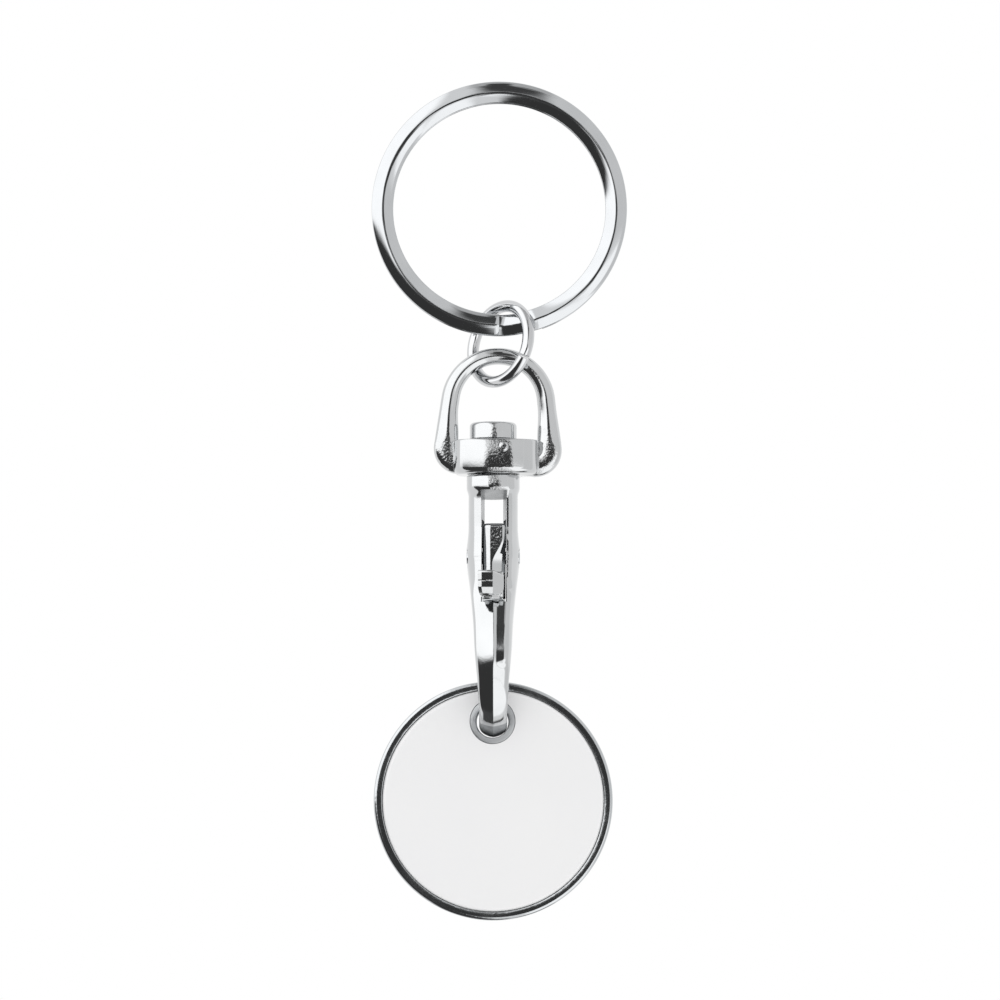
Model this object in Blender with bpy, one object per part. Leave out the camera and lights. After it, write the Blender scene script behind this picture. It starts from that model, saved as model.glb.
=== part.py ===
"""Shopping-trolley token keyring: split ring, jump ring, swivel eye, trigger snap hook and coin.

Metres, +Z up, X to the right, -Y towards the viewer. The keyring hangs from the point where the
split ring rests on what carries it: the origin is on the inside of the ring, at its top.
The hook is seen from its spine side, so its gate and nose are on the far side, at +Y.
"""

import math

import bpy
import bmesh
from mathutils import Matrix, Vector

# Split ring: flat spring wire wound twice, cranked from the front coil to the back one
RING_OUTER_RADIUS = 0.0125
RING_BAND_WIDTH = 0.0021
RING_COIL_THICKNESS = 0.00075
RING_COIL_GAP = 0.0001
RING_CRANK_LENGTH = 0.0035
RING_END_CLEARANCE = 0.0002
RING_SQUARENESS = 2.6
RING_STEP_ANGLE = math.radians(6)
RING_SIDES = 12

# Link: an open jump ring of round wire, butted ends
LINK_MEAN_RADIUS = 0.00383
LINK_WIRE_RADIUS = 0.000585
LINK_BUTT_GAP = 0.00012
LINK_SEAT_PLAY = 0.000325
LINK_SIDE_SHIFT = 0.00013
LINK_DEPTH_SHIFT = -0.0004
LINK_YAW = math.radians(46)
LINK_PITCH = math.radians(-11)
LINK_BUTT_ANGLE = math.radians(-22)
LINK_STEPS = 44
LINK_SIDES = 12

# Swivel eye: a cast D-shaped loop with a round boss across its foot
EYE_LIFT = 0.00125
EYE_CROWN_WIRE_RADIUS = 0.00082
EYE_WIRE_RADIUS = 0.0009
EYE_CROWN_RADIUS = 0.00469
EYE_CORNER_RADIUS = 0.0016
EYE_HEIGHT = 0.01075
EYE_FLARE = math.radians(7.5)
EYE_LEAN = math.radians(1.3)
EYE_CROWN_STEPS = 9
EYE_SIDE_STEPS = 4
EYE_CORNER_STEPS = 6
EYE_SIDES = 12
BOSS_HALF_WIDTH = 0.00418
BOSS_HALF_DEPTH = 0.0035
BOSS_HEIGHT = 0.00335
BOSS_SHIFT = -0.00005
BOSS_FOOT_PROUD = 0.00003
BOSS_FOOT_ROUND = 0.0006
BOSS_TOP_ROUND = 0.00015
BOSS_ROUND_STEPS = 3
BOSS_SEGMENTS = 40

# Swivel stud of the hook, running in the boss
STUD_RADIUS = 0.0016
STUD_RUNNING_GAP = 0.00008
STUD_SHIFT = -0.00035
STUD_SEGMENTS = 24
HEAD_RADIUS = 0.0023
HEAD_HEIGHT = 0.0016
HEAD_EDGE_RADIUS = 0.0004
HEAD_EDGE_STEPS = 3
HEAD_GAP = 0.0002
COLLAR_GAP = 0.00009

# Hook body: collar, barrel, spine, bend and nose in one casting
COLLAR_RADIUS = 0.0026
COLLAR_HEIGHT = 0.0012
COLLAR_FILLET_HEIGHT = 0.0008
BARREL_RADIUS = 0.00241
BARREL_HEIGHT = 0.0050
HOOK_LENGTH = 0.0255
PIVOT_DROP = 0.0080
SHOULDER_HALF_WIDTH = 0.00265
SHOULDER_HALF_DEPTH = 0.0027
SHOULDER_SETBACK = 0.0002
BEND_RADIUS = 0.00395
HOOK_WIRE_RADIUS = 0.001325
NOSE_RISE = 0.0046
NOSE_TIP_RADIUS = 0.0009
HOOK_SIDES = 20
SPINE_STEPS = 16
BEND_STEPS = 18
NOSE_STEPS = 3

# How square a section is: 2 is an ellipse
ROUND = 2
HOOK_SQUARENESS = 2.2

# Shares of the height from the barrel's foot down to the pivot
SHOULDER_EASE_SHARES = (0.3, 0.6, 0.85)

# Shares of the height from the pivot down to the bend, and of what the body is wider and
# deeper than its wire there
SPINE_WIDTH_SHARES = ((0.0, 1.0), (0.14, 0.84), (0.26, 0.70), (0.36, 0.60), (0.54, 0.45),
                      (0.74, 0.35), (0.90, 0.22), (1.0, 0.12))
SPINE_DEPTH_SHARES = ((0.0, 1.0), (0.14, 0.80), (0.26, 0.50), (0.36, 0.30), (0.54, 0.14),
                      (0.74, 0.06), (0.90, 0.02), (1.0, 0.0))
SPINE_UPPER_HANDLE_SHARE = 0.30
SPINE_LOWER_HANDLE_SHARE = 0.53

# Share of the bend over which the rest of the spine's width runs out, and of the nose's rise
# up to which it stays as thick as the wire
BEND_SLIM_SHARE = 0.25
NOSE_STRAIGHT_SHARE = 0.4

# Slot through the barrel for the trigger: wider at its lips, a window above, a wall behind
SLOT_SHIFT = 0.00007
SLOT_LIP_HALF_WIDTH = 0.00129
SLOT_HALF_WIDTH = 0.00117
WINDOW_BACK_HALF_WIDTH = 0.00087
WINDOW_HEIGHT = 0.0029
WINDOW_TOP_DROP = 0.0014
WINDOW_CEILING_RISE = 0.0008
SLOT_FOOT_DROP = 0.00445
BAY_HEADROOM = 0.0004
BACK_WALL_FOOT_RISE = 0.0011
BACK_WALL_SETBACK = 0.0019

# Trigger: one cast lever with a tail, a ribbed thumb knob and a gate
TRIGGER_OPENING = math.radians(20)
TRIGGER_SWING_GAP = 0.00015
TRIGGER_WIDTH = 0.00185
TRIGGER_SHIFT = 0.00020
TRIGGER_HUB_RADIUS = 0.00150
TRIGGER_FILLET = 0.0003
TAIL_HEIGHT = 0.0033
TAIL_FRONT = 0.00185
TAIL_THICKNESS = 0.00155
TAIL_TOP_ROUND = 0.0005
GATE_LENGTH = 0.00885
GATE_HEEL_DROP = 0.0030
GATE_THICKNESS = 0.00130
GATE_END_ROUND = 0.0004
GATE_SEAT_GAP = 0.00006
CORNER_STEPS = 4

# Thumb knob, standing out through the slot's foot and ribbed across
KNOB_WIDTH = 0.00250
KNOB_SHIFT = -0.00023
KNOB_TOP_DROP = 0.00147
KNOB_REACH = 0.00530
KNOB_THICKNESS = 0.00105
KNOB_ROUND = 0.0003
KNOB_ARM_RISE = 0.00030
RIB_DEPTH = 0.00022
RIB_WIDTH = 0.00045
RIB_COUNT = 3

# Pivot pin, riveted flush into the cheeks
PIN_RADIUS = 0.00063
PIN_HOLE_GAP = 0.00004
PIN_RUNNING_GAP = 0.00006
PIN_END_ROUND = 0.00012
PIN_END_STEPS = 2
PIN_SEGMENTS = 24

# Compression spring behind the trigger's tail
SPRING_WIRE_RADIUS = 0.0001
SPRING_COIL_RADIUS = 0.00058
SPRING_TURNS = 3
SPRING_RISE = 0.0021
SPRING_SEAT_GAP = 0.00006
SPRING_POINTS_PER_TURN = 10
SPRING_SIDES = 10

# Coin token, hung on the bend of the hook
COIN_RADIUS = 0.01163
COIN_THICKNESS = 0.00233
COIN_EDGE_ROUND = 0.00035
COIN_EDGE_STEPS = 3
COIN_RIM_WIDTH = 0.00080
COIN_RECESS_DEPTH = 0.00040
COIN_HOLE_RADIUS = 0.00160
COIN_EYELET_RADIUS = 0.00220
COIN_HOLE_OFFSET = 0.00773
COIN_HOLE_RIDE = 0.0001
COIN_SIDE_SHIFT = -0.00006
COIN_SEGMENTS = 72
COIN_HOLE_SEGMENTS = 36
INLAY_GAP = 0.00005
INLAY_PROUD = 0.00004
INLAY_EDGE_ROUND = 0.0003
INLAY_EDGE_STEPS = 3

# How far a cutter stands past the surface that it opens
CUT_OVERRUN = 0.0004
SMOOTH_ANGLE = math.radians(40)
QUARTER_TURN = math.pi / 2

# Places worked out from the sizes, in the frame of the whole keyring
RING_INNER_RADIUS = RING_OUTER_RADIUS - RING_BAND_WIDTH
RING_MEAN_RADIUS = RING_OUTER_RADIUS - RING_BAND_WIDTH / 2
RING_CENTRE = Vector((0, 0, -RING_INNER_RADIUS))
LINK_INNER_RADIUS = LINK_MEAN_RADIUS - LINK_WIRE_RADIUS
LINK_CENTRE = Vector((
    LINK_SIDE_SHIFT,
    LINK_DEPTH_SHIFT,
    -2 * RING_INNER_RADIUS + LINK_SEAT_PLAY - LINK_INNER_RADIUS,
))
EYE_CROWN = Vector((
    0,
    0,
    LINK_CENTRE.z - LINK_INNER_RADIUS + EYE_LIFT + EYE_CROWN_WIRE_RADIUS,
))
EYE_SWING = Vector((0, LINK_CENTRE.y, EYE_CROWN.z - EYE_CROWN_WIRE_RADIUS / 2))
EYE_FOOT_Z = EYE_CROWN.z - EYE_HEIGHT - EYE_WIRE_RADIUS
EYE_FOOT_X = -EYE_HEIGHT * math.sin(EYE_LEAN)
BOSS_BOTTOM_Z = EYE_FOOT_Z - BOSS_FOOT_PROUD
BOSS_TOP_Z = BOSS_BOTTOM_Z + BOSS_HEIGHT
HOOK_X = EYE_FOOT_X + STUD_SHIFT
HEAD_BOTTOM_Z = BOSS_TOP_Z + HEAD_GAP
COLLAR_TOP_Z = BOSS_BOTTOM_Z - COLLAR_GAP
PIVOT = Vector((HOOK_X, 0, COLLAR_TOP_Z - PIVOT_DROP))
BEND_CENTRE_Z = COLLAR_TOP_Z - HOOK_LENGTH + HOOK_WIRE_RADIUS + BEND_RADIUS
SLOT_FOOT_Z = PIVOT.z - SLOT_FOOT_DROP
NOSE_INNER_Y = BEND_RADIUS - HOOK_WIRE_RADIUS
TAIL_BACK = TAIL_THICKNESS - TAIL_FRONT
GATE_OUTER = NOSE_INNER_Y - GATE_SEAT_GAP
GATE_INNER = GATE_OUTER - GATE_THICKNESS
COIN_HALF = COIN_THICKNESS / 2
BEND_SAG = BEND_RADIUS - math.sqrt(BEND_RADIUS ** 2 - COIN_HALF ** 2)
COIN_HOLE = Vector((
    HOOK_X + COIN_SIDE_SHIFT,
    0,
    BEND_CENTRE_Z - BEND_RADIUS + BEND_SAG / 2 + COIN_HOLE_RIDE,
))
COIN_CENTRE_Z = COIN_HOLE.z - COIN_HOLE_OFFSET


def clear_scene():
    for thing in list(bpy.data.objects):
        bpy.data.objects.remove(thing, do_unlink=True)


def principled(name, colour, metallic, roughness):
    material = bpy.data.materials.new(name)
    material.use_nodes = True
    shader = material.node_tree.nodes["Principled BSDF"]
    shader.inputs["Base Color"].default_value = (*colour, 1)
    shader.inputs["Metallic"].default_value = metallic
    shader.inputs["Roughness"].default_value = roughness
    return material


def mesh_object(name, bm):
    """An object of this mesh, its faces out and its round faces smooth."""
    bmesh.ops.recalc_face_normals(bm, faces=bm.faces)
    mesh = bpy.data.meshes.new(name)
    bm.to_mesh(mesh)
    bm.free()
    mesh.shade_smooth()
    mesh.set_sharp_from_angle(angle=SMOOTH_ANGLE)
    thing = bpy.data.objects.new(name, mesh)
    bpy.context.scene.collection.objects.link(thing)
    return thing


def loft(name, rings, closed=False):
    """A skin over rings of points, capped at both ends or closed on itself."""
    bm = bmesh.new()
    loops = [[bm.verts.new(point) for point in ring] for ring in rings]
    sides = len(rings[0])
    pairs = list(zip(loops, loops[1:]))
    if closed:
        pairs.append((loops[-1], loops[0]))
    for near, far in pairs:
        for k in range(sides):
            after = (k + 1) % sides
            bm.faces.new((near[k], near[after], far[after], far[k]))
    if not closed:
        bm.faces.new(loops[0])
        bm.faces.new(loops[-1])
    return mesh_object(name, bm)


def prism(name, outline, width, middle):
    """An outline of (y, z) points drawn out along X, half its width to each side of middle."""
    bm = bmesh.new()
    face = bm.faces.new([bm.verts.new((middle - width / 2, y, z)) for y, z in outline])
    drawn = bmesh.ops.extrude_face_region(bm, geom=[face])
    moved = [v for v in drawn["geom"] if isinstance(v, bmesh.types.BMVert)]
    bmesh.ops.translate(bm, verts=moved, vec=(width, 0, 0))
    return mesh_object(name, bm)


def frustum(name, front_y, back_y, front, back):
    """A six-sided block between two upright rectangles (x low, x high, z low, z high)."""
    rings = []
    for y, (x_low, x_high, z_low, z_high) in ((front_y, front), (back_y, back)):
        rings.append([(x_low, y, z_low), (x_high, y, z_low), (x_high, y, z_high), (x_low, y, z_high)])
    return loft(name, rings)


def superellipse(sides, half_u, half_v, power):
    """Points (u, v) round an oval, squarer as power rises above 2."""
    points = []
    for k in range(sides):
        turn = 2 * math.pi * k / sides
        cosine, sine = math.cos(turn), math.sin(turn)
        u = math.copysign(abs(cosine) ** (2 / power), cosine) * half_u
        v = math.copysign(abs(sine) ** (2 / power), sine) * half_v
        points.append((u, v))
    return points


def turned(name, profile, segments, centre, axis="Z"):
    """A solid of revolution from (radius, height) points, along Z, X or Y through centre."""
    turn = {
        "Z": Matrix(),
        "X": Matrix.Rotation(QUARTER_TURN, 4, "Y"),
        "Y": Matrix.Rotation(-QUARTER_TURN, 4, "X"),
    }
    place = Matrix.Translation(centre) @ turn[axis]
    rings = []
    for radius, height in profile:
        ring = [place @ Vector((u, v, height)) for u, v in superellipse(segments, radius, radius, ROUND)]
        rings.append(ring)
    return loft(name, rings)


def cutter(name, radius, reach, segments, centre, axis):
    """A round cutter that reaches this far to each side of its centre."""
    return turned(name, ((radius, -reach), (radius, reach)), segments, centre, axis)


def arc(centre, radius, start, end, steps):
    """Points along an arc, from its first angle to its last."""
    points = []
    for k in range(steps + 1):
        turn = start + (end - start) * k / steps
        points.append((centre[0] + radius * math.cos(turn), centre[1] + radius * math.sin(turn)))
    return points


def edge_above(radius, height, edge, steps):
    """Profile points of a round edge, from the side of a solid on to its face at this height."""
    return arc((radius - edge, height - edge), edge, 0, QUARTER_TURN, steps)


def rounded(corners, steps):
    """An outline of points from (u, v, radius) corners, each rounded by its radius."""
    outline = []
    for k, (u, v, radius) in enumerate(corners):
        corner = Vector((u, v))
        back = (Vector(corners[k - 1][:2]) - corner).normalized()
        ahead = (Vector(corners[(k + 1) % len(corners)][:2]) - corner).normalized()
        half = back.angle(ahead) / 2
        centre = corner + (back + ahead).normalized() * radius / math.sin(half)
        first = corner + back * radius / math.tan(half) - centre
        last = corner + ahead * radius / math.tan(half) - centre
        start = math.atan2(first.y, first.x)
        turn = math.remainder(math.atan2(last.y, last.x) - start, 2 * math.pi)
        outline += arc(centre, radius, start, start + turn, steps)
    return outline


def smoothstep(share):
    share = min(max(share, 0), 1)
    return share * share * (3 - 2 * share)


def between(table, share):
    """The value at this share of a table of (share, value) pairs."""
    for (low, first), (high, last) in zip(table, table[1:]):
        if share <= high:
            return first + (last - first) * (share - low) / (high - low)
    return table[-1][1]


def combine(thing, other, operation):
    """Cuts other from this solid, or joins it on, and keeps other as a hidden helper."""
    if operation == "DIFFERENCE":
        other.data.shade_flat()
    other.hide_render = True
    other.display_type = "WIRE"
    change = thing.modifiers.new(operation.lower() + " " + other.name, "BOOLEAN")
    change.operation = operation
    change.solver = "EXACT"
    change.object = other


def seat(thing, material, pivot, parent=None):
    """Gives the piece its material, its origin on its joint and its carrier."""
    thing.data.materials.append(material)
    thing.data.transform(Matrix.Translation(-pivot))
    thing.location = pivot
    if parent:
        thing.parent = parent
        thing.matrix_parent_inverse = Matrix.Translation(-Vector(parent["pivot"]))
    thing["pivot"] = pivot


def make_split_ring(material):
    """Two turns of flat wire; the free end of the front coil is at the bottom, beside the crank."""
    coil_step = RING_COIL_THICKNESS + RING_COIL_GAP
    crank = RING_CRANK_LENGTH / RING_MEAN_RADIUS
    clear = RING_END_CLEARANCE / RING_MEAN_RADIUS
    crank_start = 2 * math.pi - crank - clear
    whole = 2 * math.pi + crank_start - clear
    steps = math.ceil(whole / RING_STEP_ANGLE)
    section = superellipse(RING_SIDES, RING_BAND_WIDTH / 2, RING_COIL_THICKNESS / 2, RING_SQUARENESS)
    turns = [whole * k / steps for k in range(steps + 1)]
    turns += [crank_start + crank * k / RING_SIDES for k in range(RING_SIDES + 1)]
    rings = []
    for turn in sorted(set(turns)):
        depth = coil_step * (smoothstep((turn - crank_start) / crank) - 1 / 2)
        angle = -QUARTER_TURN - turn
        ring = []
        for out, along in section:
            radius = RING_MEAN_RADIUS + out
            point = Vector((radius * math.cos(angle), depth + along, radius * math.sin(angle)))
            ring.append(RING_CENTRE + point)
        rings.append(ring)
    ring = loft("split_ring", rings)
    seat(ring, material, RING_CENTRE)
    return ring


def link_axes():
    """The link's own level and upright directions, and the direction its plane faces."""
    face = Vector((
        math.sin(LINK_YAW) * math.cos(LINK_PITCH),
        math.cos(LINK_YAW) * math.cos(LINK_PITCH),
        math.sin(LINK_PITCH),
    ))
    upright = (Vector((0, 0, 1)) - face.z * face).normalized()
    return upright.cross(face), upright, face


def make_link(material, parent):
    level, upright, face = link_axes()
    half_gap = LINK_BUTT_GAP / LINK_MEAN_RADIUS / 2
    whole = 2 * math.pi - 2 * half_gap
    rings = []
    for k in range(LINK_STEPS + 1):
        angle = LINK_BUTT_ANGLE + half_gap + whole * k / LINK_STEPS
        outward = math.cos(angle) * level + math.sin(angle) * upright
        middle = LINK_CENTRE + LINK_MEAN_RADIUS * outward
        section = superellipse(LINK_SIDES, LINK_WIRE_RADIUS, LINK_WIRE_RADIUS, ROUND)
        rings.append([middle + out * outward + along * face for out, along in section])
    link = loft("link", rings)
    seat(link, material, RING_CENTRE, parent)
    return link


def eye_outline():
    """Points (x, z) round the middle of the loop's wire, from its crown's middle, before it leans."""
    half = arc((0, -EYE_CROWN_RADIUS), EYE_CROWN_RADIUS, QUARTER_TURN, EYE_FLARE, EYE_CROWN_STEPS)
    # The side runs from the crown's last point, leaning out by the flare, to the corner's arc
    side_x, side_z = half[-1]
    corner_z = EYE_CORNER_RADIUS - EYE_HEIGHT
    run = (side_z - corner_z - EYE_CORNER_RADIUS * math.sin(EYE_FLARE)) / math.cos(EYE_FLARE)
    corner_x = side_x + run * math.sin(EYE_FLARE) - EYE_CORNER_RADIUS * math.cos(EYE_FLARE)
    for k in range(1, EYE_SIDE_STEPS):
        part = run * k / EYE_SIDE_STEPS
        half.append((side_x + part * math.sin(EYE_FLARE), side_z - part * math.cos(EYE_FLARE)))
    half += arc((corner_x, corner_z), EYE_CORNER_RADIUS, EYE_FLARE, -QUARTER_TURN, EYE_CORNER_STEPS)
    return half + [(-x, z) for x, z in reversed(half[1:])]


def make_swivel_eye(material, parent):
    lean = Matrix.Rotation(EYE_LEAN, 3, "Y")
    flat = eye_outline()
    rings = []
    for k, (x, z) in enumerate(flat):
        before, after = flat[k - 1], flat[(k + 1) % len(flat)]
        along = Vector((after[0] - before[0], 0, after[1] - before[1])).normalized()
        outward = Vector((-along.z, 0, along.x))
        drop = smoothstep(-z / EYE_CROWN_RADIUS)
        wire = EYE_CROWN_WIRE_RADIUS + (EYE_WIRE_RADIUS - EYE_CROWN_WIRE_RADIUS) * drop
        ring = []
        for out, deep in superellipse(EYE_SIDES, wire, wire, ROUND):
            ring.append(EYE_CROWN + lean @ (Vector((x, deep, z)) + out * outward))
        rings.append(ring)
    eye = loft("swivel_eye", rings, closed=True)
    foot = (BOSS_FOOT_ROUND, BOSS_BOTTOM_Z + BOSS_FOOT_ROUND)
    top = (BOSS_TOP_ROUND, BOSS_TOP_Z - BOSS_TOP_ROUND)
    profile = arc(foot, BOSS_FOOT_ROUND, -QUARTER_TURN, -math.pi, BOSS_ROUND_STEPS)
    profile += arc(top, BOSS_TOP_ROUND, math.pi, QUARTER_TURN, BOSS_ROUND_STEPS)
    boss_rings = []
    for inset, height in profile:
        oval = superellipse(BOSS_SEGMENTS, BOSS_HALF_WIDTH - inset, BOSS_HALF_DEPTH - inset, ROUND)
        boss_rings.append([(EYE_FOOT_X + BOSS_SHIFT + u, v, height) for u, v in oval])
    combine(eye, loft("eye_boss", boss_rings), "UNION")
    middle = Vector((HOOK_X, 0, (BOSS_BOTTOM_Z + BOSS_TOP_Z) / 2))
    reach = BOSS_HEIGHT / 2 + CUT_OVERRUN
    bore_radius = STUD_RADIUS + STUD_RUNNING_GAP
    combine(eye, cutter("eye_bore", bore_radius, reach, STUD_SEGMENTS, middle, "Z"), "DIFFERENCE")
    seat(eye, material, EYE_SWING, parent)
    return eye


def spine_point(share):
    """The middle of the spine (y, z) at this share of its curve, from the pivot to the bend."""
    height = PIVOT.z - BEND_CENTRE_Z
    ends = (
        (-SHOULDER_SETBACK, PIVOT.z),
        (-SHOULDER_SETBACK, PIVOT.z - SPINE_UPPER_HANDLE_SHARE * height),
        (-BEND_RADIUS, BEND_CENTRE_Z + SPINE_LOWER_HANDLE_SHARE * height),
        (-BEND_RADIUS, BEND_CENTRE_Z),
    )
    rest = 1 - share
    weights = (rest ** 3, 3 * rest ** 2 * share, 3 * rest * share ** 2, share ** 3)
    return tuple(sum(w * end[axis] for w, end in zip(weights, ends)) for axis in (0, 1))


def widened(share, thin, thick):
    return thin + (thick - thin) * share


def hook_stations():
    """Stations (y, z, half width, half depth, squareness, run) from the stud's head to the nose."""
    down = (0, -1)
    stations = []
    head_edge = edge_above(HEAD_RADIUS, HEAD_BOTTOM_Z + HEAD_HEIGHT, HEAD_EDGE_RADIUS, HEAD_EDGE_STEPS)
    collar_foot = COLLAR_TOP_Z - COLLAR_HEIGHT
    barrel_foot = COLLAR_TOP_Z - BARREL_HEIGHT
    stud = [(HEAD_RADIUS, HEAD_BOTTOM_Z), (STUD_RADIUS, HEAD_BOTTOM_Z), (STUD_RADIUS, COLLAR_TOP_Z)]
    collar = [(COLLAR_RADIUS, COLLAR_TOP_Z), (COLLAR_RADIUS, collar_foot)]
    for radius, height in [*reversed(head_edge), *stud, *collar]:
        stations.append((0, height, radius, radius, ROUND, down))
    for height in (collar_foot - COLLAR_FILLET_HEIGHT, barrel_foot):
        stations.append((0, height, BARREL_RADIUS, BARREL_RADIUS, HOOK_SQUARENESS, down))
    for share in SHOULDER_EASE_SHARES:
        ease = smoothstep(share)
        wide = widened(ease, BARREL_RADIUS, SHOULDER_HALF_WIDTH)
        deep = widened(ease, BARREL_RADIUS, SHOULDER_HALF_DEPTH)
        height = barrel_foot + (PIVOT.z - barrel_foot) * share
        stations.append((-SHOULDER_SETBACK * ease, height, wide, deep, HOOK_SQUARENESS, down))
    for k in range(SPINE_STEPS):
        y, z = spine_point(k / SPINE_STEPS)
        ahead = spine_point((k + 1) / SPINE_STEPS)
        behind = spine_point((k - 1) / SPINE_STEPS) if k else (y, PIVOT.z + PIVOT_DROP)
        run = Vector((ahead[0] - behind[0], ahead[1] - behind[1])).normalized()
        fallen = (PIVOT.z - z) / (PIVOT.z - BEND_CENTRE_Z)
        wide = widened(between(SPINE_WIDTH_SHARES, fallen), HOOK_WIRE_RADIUS, SHOULDER_HALF_WIDTH)
        deep = widened(between(SPINE_DEPTH_SHARES, fallen), HOOK_WIRE_RADIUS, SHOULDER_HALF_DEPTH)
        stations.append((y, z, wide, deep, HOOK_SQUARENESS, tuple(run)))
    foot_share = SPINE_WIDTH_SHARES[-1][1]
    for k in range(BEND_STEPS + 1):
        angle = math.pi * k / BEND_STEPS
        slim = foot_share * max(0, 1 - k / BEND_STEPS / BEND_SLIM_SHARE)
        wide = widened(slim, HOOK_WIRE_RADIUS, SHOULDER_HALF_WIDTH)
        y = -BEND_RADIUS * math.cos(angle)
        z = BEND_CENTRE_Z - BEND_RADIUS * math.sin(angle)
        run = (math.sin(angle), -math.cos(angle))
        stations.append((y, z, wide, HOOK_WIRE_RADIUS, HOOK_SQUARENESS, run))
    up = (0, 1)
    taper = BEND_CENTRE_Z + NOSE_RISE * NOSE_STRAIGHT_SHARE
    stations.append((BEND_RADIUS, taper, HOOK_WIRE_RADIUS, HOOK_WIRE_RADIUS, HOOK_SQUARENESS, up))
    tip = edge_above(NOSE_TIP_RADIUS, BEND_CENTRE_Z + NOSE_RISE, NOSE_TIP_RADIUS, NOSE_STEPS)
    for radius, height in tip[:-1]:
        stations.append((NOSE_INNER_Y + NOSE_TIP_RADIUS, height, radius, radius, ROUND, up))
    return stations


def cut_slot(hook):
    """The window above the trigger, the bay it turns in, and the groove its gate opens into."""
    slot_x = HOOK_X + SLOT_SHIFT
    front = -BEND_RADIUS
    back = SHOULDER_HALF_DEPTH + CUT_OVERRUN
    lips = (slot_x - SLOT_LIP_HALF_WIDTH, slot_x + SLOT_LIP_HALF_WIDTH)
    inner = (slot_x - SLOT_HALF_WIDTH, slot_x + SLOT_HALF_WIDTH)
    window_back = (slot_x - WINDOW_BACK_HALF_WIDTH, slot_x + WINDOW_BACK_HALF_WIDTH)
    top = COLLAR_TOP_Z - WINDOW_TOP_DROP
    ceiling = top - WINDOW_CEILING_RISE
    foot = ceiling - WINDOW_HEIGHT
    window = frustum("slot_window", -COLLAR_RADIUS - CUT_OVERRUN, BARREL_RADIUS + CUT_OVERRUN,
                     (*lips, foot, top), (*window_back, foot, ceiling))
    combine(hook, window, "DIFFERENCE")
    bay_top = PIVOT.z + TAIL_HEIGHT + BAY_HEADROOM
    mouth = frustum("slot_lips", front, -TAIL_FRONT,
                    (*lips, SLOT_FOOT_Z, bay_top), (*inner, SLOT_FOOT_Z, bay_top))
    combine(hook, mouth, "DIFFERENCE")
    bay = frustum("slot_bay", -TAIL_FRONT - CUT_OVERRUN, BACK_WALL_SETBACK,
                  (*inner, SLOT_FOOT_Z, bay_top), (*inner, SLOT_FOOT_Z, bay_top))
    combine(hook, bay, "DIFFERENCE")
    wall_foot = PIVOT.z + BACK_WALL_FOOT_RISE
    way_out = frustum("slot_way_out", BACK_WALL_SETBACK - CUT_OVERRUN, back,
                      (*inner, SLOT_FOOT_Z, wall_foot), (*inner, SLOT_FOOT_Z, wall_foot))
    combine(hook, way_out, "DIFFERENCE")
    # The groove's floor lies along the inner face of the open gate
    floor = []
    for drop in (SLOT_FOOT_DROP - CUT_OVERRUN, GATE_LENGTH):
        reached = GATE_INNER - TRIGGER_SWING_GAP - drop * math.sin(TRIGGER_OPENING)
        floor.append((reached / math.cos(TRIGGER_OPENING), PIVOT.z - drop))
    outline = [floor[0], floor[1], (GATE_INNER, floor[1][1]), (GATE_INNER, floor[0][1])]
    combine(hook, prism("gate_groove", outline, 2 * SLOT_HALF_WIDTH, slot_x), "DIFFERENCE")


def make_hook_body(material, parent):
    rings = []
    for y, z, wide, deep, squareness, (run_y, run_z) in hook_stations():
        inward = Vector((0, -run_z, run_y))
        middle = Vector((HOOK_X, y, z))
        oval = superellipse(HOOK_SIDES, wide, deep, squareness)
        rings.append([middle + Vector((u, 0, 0)) + v * inward for u, v in oval])
    hook = loft("hook_body", rings)
    cut_slot(hook)
    reach = SHOULDER_HALF_WIDTH + CUT_OVERRUN
    hole = cutter("pin_hole", PIN_RADIUS + PIN_HOLE_GAP, reach, PIN_SEGMENTS, PIVOT, "X")
    combine(hook, hole, "DIFFERENCE")
    seat(hook, material, Vector((HOOK_X, 0, COLLAR_TOP_Z)), parent)
    return hook


def trigger_outline():
    """Points (y, z) round the lever: its tail, hub and gate, and the arm of the knob."""
    arm_foot = KNOB_ARM_RISE - SLOT_FOOT_DROP
    arm_end = KNOB_THICKNESS / 2 - KNOB_REACH
    corners = (
        (-TAIL_FRONT, TAIL_HEIGHT, TAIL_TOP_ROUND),
        (TAIL_BACK, TAIL_HEIGHT, TAIL_TOP_ROUND),
        (TAIL_BACK, TRIGGER_HUB_RADIUS, TRIGGER_FILLET),
        (TRIGGER_HUB_RADIUS, TRIGGER_HUB_RADIUS, TRIGGER_HUB_RADIUS),
        (TRIGGER_HUB_RADIUS, -TRIGGER_HUB_RADIUS, TRIGGER_FILLET),
        (GATE_OUTER, -GATE_HEEL_DROP, TRIGGER_FILLET),
        (GATE_OUTER, -GATE_LENGTH, GATE_END_ROUND),
        (GATE_INNER, -GATE_LENGTH, GATE_END_ROUND),
        (GATE_INNER, arm_foot, TRIGGER_FILLET),
        (arm_end, arm_foot, KNOB_ROUND),
        (arm_end, -KNOB_TOP_DROP, KNOB_ROUND),
        (-TAIL_FRONT, -KNOB_TOP_DROP, TRIGGER_FILLET),
    )
    return [(PIVOT.y + y, PIVOT.z + z) for y, z in rounded(corners, CORNER_STEPS)]


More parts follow.
